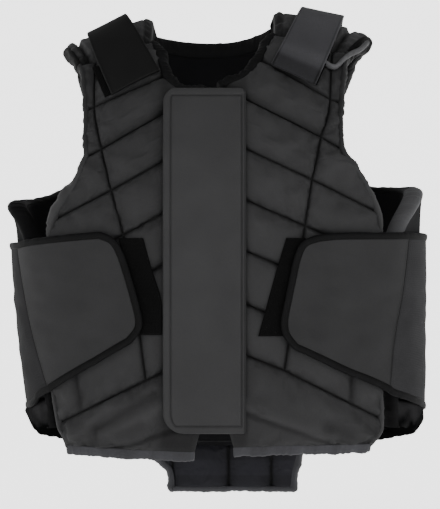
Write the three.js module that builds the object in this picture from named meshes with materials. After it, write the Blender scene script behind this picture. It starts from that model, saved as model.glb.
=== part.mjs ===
// An equestrian body protector, standing open as it does when worn: two quilted foam front panels joined
// by a zip under a wide placket, a quilted back panel whose wings wrap the sides, foam pads and
// hook-and-loop straps over the shoulders, bound waist flaps that close on the front, and a tail flap.
// Millimetres, +Z up. The front faces -Y and +X is the wearer's left. The origin is the shoulder seat,
// midway between the shoulders. Wherever a size is "down" it is a share of FRONT_LENGTH below the
// shoulder seat, and "across" is a share of HALF_WIDTH from the centre line.
import * as THREE from "three";

// The body form, measured over the outer face of the foam panels.
const FRONT_LENGTH = 436;
const HALF_WIDTH = 216;
const FRONT_DEPTH = 138;
const BACK_DEPTH = 130;
const ROUNDNESS = 2.4;

// The foam panels and their sewn channels.
const PANEL_THICKNESS = 20;
const LINING_ROUNDING = 3;
const EDGE_ROUNDING = 3;
const CHANNEL_DEPTH = 5;
const TAIL_CHANNEL_DEPTH = 6;

// Layers that lie on the panels.
const LAYER_GAP = 0.8;
const HOOK_PATCH_THICKNESS = 2;
const FLAP_THICKNESS = 4;
const PLACKET_THICKNESS = 4;
const STRAP_WIDTH = 50;
const STRAP_THICKNESS = 3;
const STRAP_ARCH = 8;

// Edges that meet side by side.
const FIT = 0.6;
const EDGE_BINDING_WIDTH = 3;
const NECK_BINDING_WIDTH = 8.5;
const HEM_BAND_WIDTH = 8;
const FLAP_BINDING_WIDTH = 7;
const BINDING_PROUD = 0.8;

// The centre front.
const ZIP_HALF_WIDTH = 8;
const ZIP_TAPE_THICKNESS = 2;
const ZIP_DEPTH = 5;
const PLACKET_RIGHT_REACH = 51.5;
const PLACKET_LEFT_REACH = 34;
const PLACKET_TOP = 0.113;
const PLACKET_BOTTOM = 0.932;
const PLACKET_TOP_RADIUS = 14;
const PLACKET_BOTTOM_RADIUS = 22;

// The shoulders.
const PAD_INNER_REACH = 66;
const PAD_FRONT_DROP = 28;
const PAD_BACK_NECK_DROP = 13;
const PAD_BACK_ARM_DROP = 25;
const STRAP_FRONT_DROP = 68;
const STRAP_END_SLANT = 9;
const STRAP_BACK_DROP = 72;

// The tail flap.
const TAIL_LENGTH = 47;
const TAIL_THICKNESS = 18;
const TAIL_RIGHT_REACH = 76;
const TAIL_LEFT_REACH = 101;

const CHARCOAL = new THREE.MeshStandardMaterial({ color: 0x343435, roughness: 0.8, metalness: 0 });
const BLACK_TRIM = new THREE.MeshStandardMaterial({ color: 0x131313, roughness: 0.9, metalness: 0 });
const GREY_TRIM = new THREE.MeshStandardMaterial({ color: 0x454449, roughness: 0.85, metalness: 0 });
const HOOK_BLACK = new THREE.MeshStandardMaterial({ color: 0x0a0a0a, roughness: 1, metalness: 0 });

const group = new THREE.Group();

// Turns rows of numbers into rows whose values have the columns' names.
function table(columns, rows) {
  return rows.map((row) => Object.fromEntries(columns.map((name, i) => [name, row[i]])));
}

// Horizontal sections of the body form, from above the shoulders to below the hem. Widths are shares of
// HALF_WIDTH to the wearer's right and left, depths are shares of FRONT_DEPTH and BACK_DEPTH.
const SECTIONS = table(["down", "right", "left", "front", "back"], [
  [-0.12, 0.1, 0.16, 0.05, 0.12],
  [-0.096, 0.17, 0.31, 0.09, 0.26],
  [-0.073, 0.333, 0.477, 0.18, 0.42],
  [-0.037, 0.54, 0.742, 0.31, 0.59],
  [0, 0.745, 0.875, 0.45, 0.73],
  [0.05, 0.825, 0.917, 0.62, 0.87],
  [0.124, 0.895, 0.958, 0.8, 0.97],
  [0.245, 0.945, 1.0, 0.94, 1.015],
  [0.344, 0.968, 1.019, 0.993, 1.01],
  [0.47, 0.975, 1.026, 1.0, 0.97],
  [0.688, 0.945, 1.026, 0.97, 0.9],
  [0.881, 0.895, 1.02, 0.935, 0.885],
  [1.0, 0.87, 1.0, 0.92, 0.89],
  [1.16, 0.845, 0.98, 0.905, 0.9],
]);

// A smooth value of one column of the sections at a height, and its slope per millimetre of height.
function sectionValue(column, size, z) {
  const down = THREE.MathUtils.clamp(-z / FRONT_LENGTH, SECTIONS[0].down, SECTIONS.at(-1).down);
  let k = SECTIONS.findIndex((row) => row.down >= down);
  k = Math.max(1, k);
  const slopeAt = (i) => {
    const before = SECTIONS[Math.max(0, i - 1)];
    const after = SECTIONS[Math.min(SECTIONS.length - 1, i + 1)];
    return (after[column] - before[column]) / (after.down - before.down);
  };
  const [low, high] = [SECTIONS[k - 1], SECTIONS[k]];
  const span = high.down - low.down;
  const t = (down - low.down) / span;
  const [m0, m1] = [slopeAt(k - 1) * span, slopeAt(k) * span];
  const rise = high[column] - low[column];
  const value = low[column] + t * (m0 + t * (3 * rise - 2 * m0 - m1 + t * (m0 + m1 - 2 * rise)));
  const slope = (m0 + t * (2 * (3 * rise - 2 * m0 - m1) + t * 3 * (m0 + m1 - 2 * rise))) / span;
  return { size: value * size, slope: (-slope * size) / FRONT_LENGTH };
}

const halfWidthAt = (z, side) => sectionValue(side < 0 ? "right" : "left", HALF_WIDTH, z);
const depthAt = (z, back) =>
  back ? sectionValue("back", BACK_DEPTH, z) : sectionValue("front", FRONT_DEPTH, z);

// The point of the body form at a turn, in degrees from the centre front towards the wearer's left, and a
// height, with the outward normal there.
function bodyForm(turn, z) {
  const angle = THREE.MathUtils.degToRad(turn);
  const [s, c] = [Math.sin(angle), Math.cos(angle)];
  const half = halfWidthAt(z, s);
  const depth = depthAt(z, c < 0);
  const x = Math.sign(s) * Math.abs(s) ** (2 / ROUNDNESS);
  const y = -Math.sign(c) * Math.abs(c) ** (2 / ROUNDNESS);
  const normal = new THREE.Vector3(
    (Math.sign(x) * Math.abs(x) ** (ROUNDNESS - 1)) / half.size,
    (Math.sign(y) * Math.abs(y) ** (ROUNDNESS - 1)) / depth.size,
    (-(Math.abs(x) ** ROUNDNESS) * half.slope) / half.size -
      (Math.abs(y) ** ROUNDNESS * depth.slope) / depth.size,
  ).normalize();
  return { point: new THREE.Vector3(x * half.size, y * depth.size, z), normal };
}

// A point a distance out of the body form.
function at(turn, z, out) {
  const { point, normal } = bodyForm(turn, z);
  return point.addScaledVector(normal, out);
}

// The turn at which the body form reaches x at a height, on the front or the back.
function turnAt(x, z, back = false) {
  const share = Math.min(1, Math.abs(x) / halfWidthAt(z, x).size);
  const turn = THREE.MathUtils.radToDeg(Math.asin(share ** (ROUNDNESS / 2)));
  return Math.sign(x || 1) * (back ? 180 - turn : turn);
}

// The height of the shoulder's ridge at x, where the body form is as narrow as x.
function ridgeAt(x) {
  let [low, high] = [-0.05 * FRONT_LENGTH, 0.12 * FRONT_LENGTH];
  for (let i = 0; i < 40; i++) {
    const middle = (low + high) / 2;
    if (halfWidthAt(middle, x).size > Math.abs(x)) low = middle;
    else high = middle;
  }
  return (low + high) / 2;
}

// A closed slab over a grid: place(u, v, face) gives its points, with face 0 on the body side and 1 outside.
function slab(us, vs, place) {
  const positions = [];
  for (const v of vs)
    for (const u of us)
      for (const face of [0, 1]) positions.push(...place(u, v, face).toArray());
  const id = (i, j, face) => (j * us.length + i) * 2 + face;
  const index = [];
  const quad = (a, b, c, d) => index.push(a, b, c, a, c, d);
  const [lastU, lastV] = [us.length - 1, vs.length - 1];
  for (let j = 0; j < lastV; j++)
    for (let i = 0; i < lastU; i++) {
      quad(id(i, j, 1), id(i + 1, j, 1), id(i + 1, j + 1, 1), id(i, j + 1, 1));
      quad(id(i, j + 1, 0), id(i + 1, j + 1, 0), id(i + 1, j, 0), id(i, j, 0));
    }
  for (let i = 0; i < lastU; i++) {
    quad(id(i, 0, 0), id(i + 1, 0, 0), id(i + 1, 0, 1), id(i, 0, 1));
    quad(id(i, lastV, 0), id(i, lastV, 1), id(i + 1, lastV, 1), id(i + 1, lastV, 0));
  }
  for (let j = 0; j < lastV; j++) {
    quad(id(0, j, 0), id(0, j, 1), id(0, j + 1, 1), id(0, j + 1, 0));
    quad(id(lastU, j, 0), id(lastU, j + 1, 0), id(lastU, j + 1, 1), id(lastU, j, 1));
  }
  if (volumeOf(positions, index) < 0) index.reverse();
  const geometry = new THREE.BufferGeometry();
  geometry.setAttribute("position", new THREE.Float32BufferAttribute(positions, 3));
  geometry.setIndex(index);
  geometry.computeVertexNormals();
  return geometry;
}

function volumeOf(positions, index) {
  const corner = (i) => new THREE.Vector3().fromArray(positions, 3 * i);
  let six = 0;
  for (let i = 0; i < index.length; i += 3)
    six += corner(index[i]).dot(corner(index[i + 1]).cross(corner(index[i + 2])));
  return six / 6;
}

function add(name, geometry, material) {
  const mesh = new THREE.Mesh(geometry, material);
  mesh.name = name;
  group.add(mesh);
}

// A smooth line through places, each a turn or an x, and a height: line(t) for t from 0 to 1.
function lineThrough(places) {
  const points = places.map(([p, z]) => new THREE.Vector3(p, 0, z));
  const curve = new THREE.CatmullRomCurve3(points, false, "catmullrom");
  return (t) => {
    const point = curve.getPoint(t);
    return [point.x, point.z];
  };
}

const steps = (count) => Array.from({ length: count + 1 }, (_, i) => i / count);

// Grid lines through sewn rows: each sewn row gets a line on either side where the foam is at full height.
function stepsThroughRows(rows, share) {
  const lines = [];
  rows.forEach((row, k) => {
    if (row.sewn && k > 0) lines.push(k - share);
    lines.push(k);
    if (row.sewn && k < rows.length - 1) lines.push(k + share);
  });
  return lines;
}

// How far the outer cloth is drawn in at v: 1 on a sewn row, 0 beyond the channel beside it.
function rowPinch(rows, v, share) {
  const nearest = rows[Math.round(v)];
  return nearest.sewn ? Math.max(0, 1 - Math.abs(v - Math.round(v)) / share) : 0;
}

const CHANNEL_SHARE = 0.1;

// The shoulders' reaches from the centre line, as shares of HALF_WIDTH: the pad's front end, tip and back
// end, then the strap's centre line at its front end, on the ridge and at its back end. The strap's half
// widths, at its front end and above it, and how far its patch stands out past it, are shares of STRAP_WIDTH.
// The arches are how high the strap rises off the pad at its neck and armhole sides, shares of STRAP_ARCH.
const SHOULDER_COLUMNS = [
  "name", "side", "padFront", "padTip", "padBack", "strapFront", "strapRidge", "strapBack", "endHalf", "half",
  "patchOverhang", "neckArch", "armArch",
];
const SHOULDERS = table(SHOULDER_COLUMNS, [
  ["right", -1, 0.665, 0.745, 0.695, 0.37, 0.517, 0.542, 0.495, 0.44, 0.14, 1, 0.2],
  ["left", 1, 0.673, 0.787, 0.722, 0.386, 0.532, 0.556, 0.46, 0.46, 0.02, 0.75, 1],
]);

// The front panels. Each row runs from the inner edge, at the neck or the zip, over the long upright seam
// to the outer edge, at the armhole or the side. The top row follows the shoulder pad's front edge.
const FRONT_COLUMNS = [
  "inner", "innerDown", "seam", "seamDown", "outer", "outerDown", "sewn",
];
const RIGHT_FRONT_ROWS = table(FRONT_COLUMNS, [
  [0.305, 0, 0.58, 0.04, 0.665, 0.06, 0],
  [0.235, 0.073, 0.582, 0.15, 0.628, 0.16, 1],
  [0.14, 0.111, 0.565, 0.203, 0.625, 0.218, 0],
  [0.04, 0.112, 0.543, 0.254, 0.628, 0.276, 1],
  [0.04, 0.172, 0.518, 0.304, 0.68, 0.338, 0],
  [0.04, 0.229, 0.493, 0.354, 0.785, 0.426, 1],
  [0.04, 0.355, 0.435, 0.461, 0.815, 0.556, 1],
  [0.04, 0.482, 0.392, 0.57, 0.812, 0.669, 1],
  [0.04, 0.61, 0.359, 0.686, 0.805, 0.785, 1],
  [0.04, 0.738, 0.326, 0.807, 0.765, 0.915, 1],
  [0.044, 0.88, 0.302, 0.922, 0.742, 0.941, 1],
  [0.091, 0.98, 0.302, 0.977, 0.716, 0.97, 0],
]);
const LEFT_FRONT_ROWS = table(FRONT_COLUMNS, [
  [0.305, -0.01, 0.59, 0.02, 0.673, 0.03, 0],
  [0.23, 0.031, 0.571, 0.131, 0.631, 0.142, 1],
  [0.145, 0.077, 0.554, 0.179, 0.624, 0.187, 0],
  [0.04, 0.103, 0.523, 0.225, 0.637, 0.257, 1],
  [0.04, 0.165, 0.503, 0.275, 0.7, 0.298, 0],
  [0.04, 0.227, 0.478, 0.328, 0.81, 0.407, 1],
  [0.04, 0.352, 0.444, 0.439, 0.82, 0.52, 1],
  [0.04, 0.475, 0.411, 0.551, 0.82, 0.642, 1],
  [0.04, 0.6, 0.382, 0.672, 0.82, 0.772, 1],
  [0.04, 0.723, 0.344, 0.783, 0.83, 0.904, 1],
  [0.044, 0.86, 0.321, 0.9, 0.82, 0.936, 1],
  [0.1, 0.969, 0.33, 0.965, 0.77, 0.966, 0],
]);

// The place of a front panel's grid point, as x and a height, for u from 0 to 2 over the upright seam.
function frontPanelPlan(rows, side) {
  const lineOf = (across, down) =>
    lineThrough(rows.map((row) => [row[across] * HALF_WIDTH, -row[down] * FRONT_LENGTH]));
  const inner = lineOf("inner", "innerDown");
  const seam = lineOf("seam", "seamDown");
  const outer = lineOf("outer", "outerDown");
  const centreEdge = ZIP_HALF_WIDTH + FIT;
  return (u, v) => {
    const t = v / (rows.length - 1);
    const [from, to] = u < 1 ? [inner(t), seam(t)] : [seam(t), outer(t)];
    const share = u < 1 ? u : u - 1;
    const start = Math.max(from[0], centreEdge);
    const x = side * THREE.MathUtils.lerp(start, to[0], share);
    const straight = THREE.MathUtils.lerp(from[1], to[1], share);
    const top = ridgeAt(x) - PAD_FRONT_DROP - FIT;
    const z = v < 1 ? THREE.MathUtils.lerp(top, straight, v) : straight;
    return [x, z];
  };
}

const FRONT_PINCH = { inner: 0.06, outer: 0.08 };
const FRONT_U = [
  0, FRONT_PINCH.inner, 0.35, 0.65, 1 - FRONT_PINCH.inner,
  1, 1 + FRONT_PINCH.outer, 1.5, 2 - FRONT_PINCH.outer, 2,
];
const NECK_CURVE_LINES = [0.5, 1.5, 2.5];
const FRONT_V = [
  ...stepsThroughRows(RIGHT_FRONT_ROWS, CHANNEL_SHARE),
  ...NECK_CURVE_LINES,
].sort((a, b) => a - b);

function columnPinch(u) {
  const fromSeam = Math.abs(u - 1);
  return Math.max(0, 1 - fromSeam / (u < 1 ? FRONT_PINCH.inner : FRONT_PINCH.outer));
}

function frontPanel(rows, side) {
  const plan = frontPanelPlan(rows, side);
  return slab(FRONT_U, FRONT_V, (u, v, face) => {
    const [x, z] = plan(u, v);
    const onEdge = u === 0 || u === 2 || v === 0 || v === rows.length - 1;
    const pinch = Math.max(rowPinch(rows, v, CHANNEL_SHARE), columnPinch(u));
    const outside = onEdge ? -EDGE_ROUNDING : -CHANNEL_DEPTH * pinch;
    const inside = -PANEL_THICKNESS + (onEdge ? LINING_ROUNDING : 0);
    return at(turnAt(x, z), z, face ? outside : inside);
  });
}

add("front_panel_right", frontPanel(RIGHT_FRONT_ROWS, -1), CHARCOAL);
add("front_panel_left", frontPanel(LEFT_FRONT_ROWS, 1), CHARCOAL);

// The back panel and the side wings sewn to it. Each row runs from the centre back over the seam between
// them to the outer edge: the armhole, the top of the side wing and then the wing's front edge. Turns are in
// degrees from the centre front. The flare is how far the wing's free corner stands out, in a share of
// PANEL_THICKNESS.
const BACK_COLUMNS = ["centreDown", "seamDown", "outer", "outerDown", "flare", "sewn"];
const SEAM_TURN = 149;
const RIGHT_BACK_ROWS = table(BACK_COLUMNS, [
  [-0.03, -0.04, 124, 0.05, 0, 0],
  [0.07, 0.106, 138.8, 0.142, 0, 1],
  [0.195, 0.257, 138.2, 0.281, 0, 1],
  [0.26, 0.315, 128.7, 0.344, 0, 0],
  [0.29, 0.343, 113, 0.371, 0.15, 0],
  [0.322, 0.39, 84, 0.387, 0.55, 1],
  [0.385, 0.45, 74, 0.44, 0.05, 0],
  [0.452, 0.527, 67, 0.5, 0, 1],
  [0.582, 0.658, 64, 0.62, 0, 1],
  [0.713, 0.789, 63, 0.745, 0, 1],
  [0.844, 0.906, 62, 0.86, 0, 1],
  [0.99, 0.985, 63, 0.94, 0, 0],
]);
const LEFT_BACK_ROWS = table(BACK_COLUMNS, [
  [-0.03, -0.055, 126, 0.02, 0, 0],
  [0.07, 0.106, 141.6, 0.133, 0, 1],
  [0.195, 0.257, 141, 0.262, 0, 1],
  [0.26, 0.315, 131.8, 0.334, 0, 0],
  [0.29, 0.343, 116, 0.344, 0.05, 0],
  [0.322, 0.39, 87, 0.352, 0.25, 1],
  [0.385, 0.45, 66, 0.42, 0.05, 0],
  [0.452, 0.527, 58, 0.5, 0, 1],
  [0.582, 0.658, 58, 0.62, 0, 1],
  [0.713, 0.789, 58, 0.745, 0, 1],
  [0.844, 0.906, 58, 0.86, 0, 1],
  [0.99, 0.985, 60, 0.94, 0, 0],
]);
const NECK_HEIGHT = 0.03;
const NECK_BOW = 2.2;

// How far below the ridge the shoulder pad's back edge lies at x.
function padBackDrop(x) {
  const outer = HALF_WIDTH * SHOULDERS[0].padBack;
  const share = (Math.abs(x) - PAD_INNER_REACH) / (outer - PAD_INNER_REACH);
  const held = THREE.MathUtils.clamp(share, 0, 1);
  return THREE.MathUtils.lerp(PAD_BACK_NECK_DROP, PAD_BACK_ARM_DROP, held);
}

// The back panel's top edge: the neck's curve as far as the pad, then the pad's back edge.
function backTopEdge(side, reach) {
  const { padBack } = SHOULDERS.find((row) => row.side === side);
  const cornerZ = ridgeAt(side * PAD_INNER_REACH) - PAD_BACK_NECK_DROP - FIT;
  if (reach <= 1) {
    const x = PAD_INNER_REACH * reach;
    const z = THREE.MathUtils.lerp(NECK_HEIGHT * FRONT_LENGTH, cornerZ, reach ** NECK_BOW);
    return { turn: turnAt(x * side, z, true) * side, z };
  }
  const x = side * THREE.MathUtils.lerp(PAD_INNER_REACH, padBack * HALF_WIDTH, reach - 1);
  const z = ridgeAt(x) - padBackDrop(x) - FIT;
  return { turn: turnAt(x, z, true) * side, z };
}

// The place of a back panel's grid point for u from -2, the right edge, through 0, the spine, to 2.
function backPanelPlan(u, v) {
  const rows = u < 0 ? RIGHT_BACK_ROWS : LEFT_BACK_ROWS;
  const side = u < 0 ? -1 : 1;
  const lineOf = (value, down) =>
    lineThrough(rows.map((row) => [value(row), -row[down] * FRONT_LENGTH]));
  const t = v / (rows.length - 1);
  const [, centreZ] = lineOf(() => 180, "centreDown")(t);
  const [, seamZ] = lineOf(() => SEAM_TURN, "seamDown")(t);
  const [outer, outerZ] = lineOf((row) => row.outer, "outerDown")(t);
  const [flare] = lineOf((row) => row.flare, "outerDown")(t);
  const reach = Math.abs(u);
  const share = Math.max(0, reach - 1);
  const { lerp } = THREE.MathUtils;
  const near = { turn: lerp(180, SEAM_TURN, reach), z: lerp(centreZ, seamZ, reach) };
  const far = { turn: lerp(SEAM_TURN, outer, share), z: lerp(seamZ, outerZ, share) };
  let { turn, z } = reach < 1 ? near : far;
  if (v < 1) {
    const top = backTopEdge(side, reach);
    turn = THREE.MathUtils.lerp(top.turn, turn, v);
    z = THREE.MathUtils.lerp(top.z, z, v);
  }
  return { turn: side * turn, z, flare: Math.max(0, flare) * PANEL_THICKNESS * share ** 3 };
}

const BACK_PINCH = { spine: 0.07, inner: 0.05, outer: 0.06 };
const WING_U = [1, 1 + BACK_PINCH.outer, 1.25, 1.45, 1.63, 1.8, 2 - BACK_PINCH.outer, 2];
const PAD_U = WING_U.map((u) => u - 1);
const BACK_HALF_U = [BACK_PINCH.spine, 0.36, 0.68, 1 - BACK_PINCH.inner, 1];
const BACK_U = [...BACK_HALF_U.map((u) => -u).reverse(), 0, ...BACK_HALF_U];
const BACK_V = stepsThroughRows(RIGHT_BACK_ROWS, CHANNEL_SHARE);
const HALF_SEAM_GAP_TURN = 0.15;

function backPinch(u) {
  const reach = Math.abs(u);
  const fromSpine = Math.max(0, 1 - reach / BACK_PINCH.spine);
  const beside = reach < 1 ? BACK_PINCH.inner : BACK_PINCH.outer;
  const fromSeam = Math.max(0, 1 - Math.abs(reach - 1) / beside);
  return Math.max(fromSpine, fromSeam);
}

// One quilted piece of the back. seamShift turns its edge at the seam a little away from its neighbour's.
function backPiece(us, seamShift) {
  const lastRow = RIGHT_BACK_ROWS.length - 1;
  return slab(us, BACK_V, (u, v, face) => {
    const { turn, z, flare } = backPanelPlan(u, v);
    const onEdge = Math.abs(u) === 2 || v === 0 || v === lastRow;
    const pinch = Math.max(rowPinch(RIGHT_BACK_ROWS, v, CHANNEL_SHARE), backPinch(u));
    const outside = onEdge ? -EDGE_ROUNDING : -CHANNEL_DEPTH * pinch;
    const inside = -PANEL_THICKNESS + (onEdge ? LINING_ROUNDING : 0);
    const shift = Math.abs(u) === 1 ? Math.sign(turn) * seamShift : 0;
    return at(turn + shift, z, flare + (face ? outside : inside));
  });
}

add("back_panel", backPiece(BACK_U, HALF_SEAM_GAP_TURN), CHARCOAL);
add("side_wing_right", backPiece(WING_U.map((u) => -u).reverse(), -HALF_SEAM_GAP_TURN), CHARCOAL);
add("side_wing_left", backPiece(WING_U, -HALF_SEAM_GAP_TURN), CHARCOAL);

// The shoulder pads, foam blocks bent over the shoulders between the front and back panels. The along value
// runs from -1 at the front edge over the ridge to 1 at the back edge.
function overShoulder(x, along, frontDrop, backDrop, out) {
  const back = along > 0;
  const z = ridgeAt(x) - (back ? backDrop : frontDrop) * along * along;
  return at(turnAt(x, z, back), z, out);
}

const TIP_ROUNDNESS = 1.5;

// The pad's outer reach swells from the armholes' ends to its tip on the ridge.
function padReach(row, along) {
  const end = along < 0 ? row.padFront : row.padBack;
  return HALF_WIDTH * THREE.MathUtils.lerp(row.padTip, end, Math.abs(along) ** TIP_ROUNDNESS);
}

function shoulderPad(row) {
  return slab(PAD_U, steps(12), (u, v, face) => {
    const along = 2 * v - 1;
    const x = row.side * THREE.MathUtils.lerp(PAD_INNER_REACH, padReach(row, along), u);
    const onEdge = u === 0 || u === 1 || v === 0 || v === 1;
    const outside = onEdge ? -EDGE_ROUNDING : 0;
    const inside = -PANEL_THICKNESS + (onEdge ? LINING_ROUNDING : 0);
    return overShoulder(x, along, PAD_FRONT_DROP, padBackDrop(x), face ? outside : inside);
  });
}

for (const row of SHOULDERS) add(`shoulder_pad_${row.name}`, shoulderPad(row), CHARCOAL);

// The shoulder straps and the hook patches that they close on. A strap is sewn to the back panel, arches
// over the pad and lies on its patch at the front. The patch stands out past the strap's armhole side.
const STRAP_PATCH_TOP_DROP = 38;
const STRAP_PATCH_MARGIN = 2;
const STRAP_PATCH_INNER = 0.1;
const FLAT_END = 0.05;
const RIDGE = 0.5;

// How far out of the body form the strap's under side lies: its ends are flat and it arches between them.
function strapOut(row, u, v) {
  const overPatch = LAYER_GAP * 2 + HOOK_PATCH_THICKNESS;
  const base = THREE.MathUtils.lerp(overPatch, LAYER_GAP, THREE.MathUtils.smoothstep(v, RIDGE, 1));
  const share = THREE.MathUtils.clamp((v - FLAT_END) / (1 - 2 * FLAT_END), 0, 1);
  const arch = STRAP_ARCH * THREE.MathUtils.lerp(row.neckArch, row.armArch, u);
  return base + arch * Math.sin(Math.PI * share) ** 2;
}

function strapX(row, u, v) {
  const along = 2 * v - 1;
  const end = along < 0 ? row.strapFront : row.strapBack;
  const centre = THREE.MathUtils.lerp(row.strapRidge, end, along * along);
  const half = along < 0 ? THREE.MathUtils.lerp(row.half, row.endHalf, -along) : row.half;
  return row.side * (centre * HALF_WIDTH + (2 * u - 1) * half * STRAP_WIDTH);
}

// The strap's front end is cut aslant, so its armhole side hangs lower.
const strapFrontDrop = (u) => STRAP_FRONT_DROP + STRAP_END_SLANT * u;

function shoulderStrap(row) {
  return slab(steps(3), steps(20), (u, v, face) => {
    const out = strapOut(row, u, v) + (face ? STRAP_THICKNESS : 0);
    return overShoulder(strapX(row, u, v), 2 * v - 1, strapFrontDrop(u), STRAP_BACK_DROP, out);
  });
}

function strapPatch(row) {
  return slab(steps(4), steps(3), (u, v, face) => {
    const drop = THREE.MathUtils.lerp(STRAP_PATCH_TOP_DROP, strapFrontDrop(u) - STRAP_PATCH_MARGIN, v);
    const strapV = RIDGE * (1 - Math.sqrt(drop / strapFrontDrop(u)));
    const inner = Math.abs(strapX(row, STRAP_PATCH_INNER, strapV));
    const outer = Math.abs(strapX(row, 1, strapV)) + row.patchOverhang * STRAP_WIDTH;
    const x = row.side * THREE.MathUtils.lerp(inner, outer, u);
    const z = ridgeAt(x) - drop;
    return at(turnAt(x, z), z, LAYER_GAP + (face ? HOOK_PATCH_THICKNESS : 0));
  });
}

for (const row of SHOULDERS) {
  add(`shoulder_strap_${row.name}`, shoulderStrap(row), row.side < 0 ? BLACK_TRIM : GREY_TRIM);
  add(`shoulder_hook_patch_${row.name}`, strapPatch(row), HOOK_BLACK);
}

// The zip, hidden by the placket, and the placket, a bound flap sewn down its wearer's-left edge.
const ZIP_TOP = 0.125;
const ZIP_BOTTOM = 0.885;
const zip = slab(steps(2), steps(16), (u, v, face) => {
  const x = THREE.MathUtils.lerp(-ZIP_HALF_WIDTH, ZIP_HALF_WIDTH, u);
  const z = -THREE.MathUtils.lerp(ZIP_TOP, ZIP_BOTTOM, v) * FRONT_LENGTH;
  return at(turnAt(x, z), z, -ZIP_DEPTH + (face ? ZIP_TAPE_THICKNESS : 0));
});
add("front_zip", zip, BLACK_TRIM);

// How far a rounded corner has drawn the edge in, a distance below or above the corner's end.
const cornerInset = (radius, distance) =>
  distance >= radius ? 0 : radius - Math.sqrt(radius ** 2 - (radius - distance) ** 2);

const PLACKET_CORNER_V = [0, 0.004, 0.015, 0.035];
const PLACKET_MIDDLE = { from: 0.065, to: 0.935 };
const PLACKET_V = [
  ...PLACKET_CORNER_V,
  ...steps(12).map((s) => THREE.MathUtils.lerp(PLACKET_MIDDLE.from, PLACKET_MIDDLE.to, s)),
  ...PLACKET_CORNER_V.map((v) => 1 - v).reverse(),
];
const placket = slab(steps(5), PLACKET_V, (u, v, face) => {
  const [top, bottom] = [-PLACKET_TOP * FRONT_LENGTH, -PLACKET_BOTTOM * FRONT_LENGTH];
  const z = THREE.MathUtils.lerp(top, bottom, v);
  const inset = cornerInset(PLACKET_TOP_RADIUS, top - z) + cornerInset(PLACKET_BOTTOM_RADIUS, z - bottom);
  const x = THREE.MathUtils.lerp(-PLACKET_RIGHT_REACH + inset, PLACKET_LEFT_REACH, u);
  return at(turnAt(x, z), z, LAYER_GAP + (face ? PLACKET_THICKNESS : 0));
});
add("centre_placket", placket, CHARCOAL);

// The hook patches under the waist flaps' ends, slanting like those ends and stopping at the placket.
const PATCH_COLUMNS = ["near", "far", "down"];
const WAIST_PATCHES = {
  right: table(PATCH_COLUMNS, [
    [0.333, 0.45, 0.468],
    [0.293, 0.42, 0.54],
    [0.247, 0.39, 0.615],
    [0.243, 0.372, 0.697],
  ]),
  left: table(PATCH_COLUMNS, [
    [0.349, 0.44, 0.468],
    [0.305, 0.405, 0.54],
    [0.262, 0.375, 0.617],
    [0.216, 0.35, 0.7],
  ]),
};

function waistPatch(rows, side) {
  const near = lineThrough(rows.map((row) => [row.near * HALF_WIDTH, -row.down * FRONT_LENGTH]));
  const far = lineThrough(rows.map((row) => [row.far * HALF_WIDTH, -row.down * FRONT_LENGTH]));
  const placketEdge = (side < 0 ? PLACKET_RIGHT_REACH : PLACKET_LEFT_REACH) + FIT;
  return slab(steps(2), steps(6), (u, v, face) => {
    const x = side * THREE.MathUtils.lerp(Math.max(near(v)[0], placketEdge), far(v)[0], u);
    const z = near(v)[1];
    return at(turnAt(x, z), z, LAYER_GAP + (face ? HOOK_PATCH_THICKNESS : 0));
  });
}

add("waist_hook_patch_right", waistPatch(WAIST_PATCHES.right, -1), HOOK_BLACK);
add("waist_hook_patch_left", waistPatch(WAIST_PATCHES.left, 1), HOOK_BLACK);

// The waist flaps. Each has a cloth front part that ends in rounded corners over the hook patch, a stretch
// part that runs round the side to the back panel, a seam between the two, and a binding round the edge.
const PLACE_COLUMNS = ["turn", "down"];
const WAIST_FLAPS = {
  right: {
    side: -1,
    top: table(PLACE_COLUMNS, [[29.1, 0.468], [44.7, 0.476], [60, 0.484], [71, 0.491]]),
    end: table(PLACE_COLUMNS, [
      [29.1, 0.468], [25.5, 0.48], [23.3, 0.508], [21.4, 0.555],
      [19.6, 0.61], [18.4, 0.657], [18.8, 0.681], [21.3, 0.705],
    ]),
    bottom: table(PLACE_COLUMNS, [[21.3, 0.705], [32.8, 0.751], [45, 0.79], [56.4, 0.822]]),
    seam: table(PLACE_COLUMNS, [[71, 0.491], [67, 0.59], [62.8, 0.691], [56.4, 0.822]]),
    stretchTop: table(PLACE_COLUMNS, [[71, 0.491], [90, 0.493], [106, 0.493], [122, 0.493]]),
    stretchBottom: table(PLACE_COLUMNS, [[56.4, 0.822], [64.6, 0.838], [76, 0.864], [122, 0.88]]),
  },
  left: {
    side: 1,
    top: table(PLACE_COLUMNS, [[24.7, 0.475], [31.7, 0.47], [46, 0.469], [62, 0.468]]),
    end: table(PLACE_COLUMNS, [
      [24.7, 0.475], [21.2, 0.487], [19.5, 0.515], [18.4, 0.555],
      [17, 0.615], [16, 0.662], [16.5, 0.693], [18.7, 0.719],
    ]),
    bottom: table(PLACE_COLUMNS, [[18.7, 0.719], [33.4, 0.773], [43.8, 0.801], [51.7, 0.822]]),
    seam: table(PLACE_COLUMNS, [[62, 0.468], [58.1, 0.593], [53.5, 0.713], [51.7, 0.822]]),
    stretchTop: table(PLACE_COLUMNS, [[62, 0.468], [85, 0.471], [104, 0.475], [122, 0.475]]),
    stretchBottom: table(PLACE_COLUMNS, [[51.7, 0.822], [57, 0.836], [85, 0.871], [122, 0.89]]),
  },
};
const FLAP_OUT = LAYER_GAP * 2 + HOOK_PATCH_THICKNESS;
const SEAM_GAP_TURN = 0.12;
const FLAP_END_STEPS = 10;

const placesOf = (rows) => rows.map((row) => [row.turn, -row.down * FRONT_LENGTH]);

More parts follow.
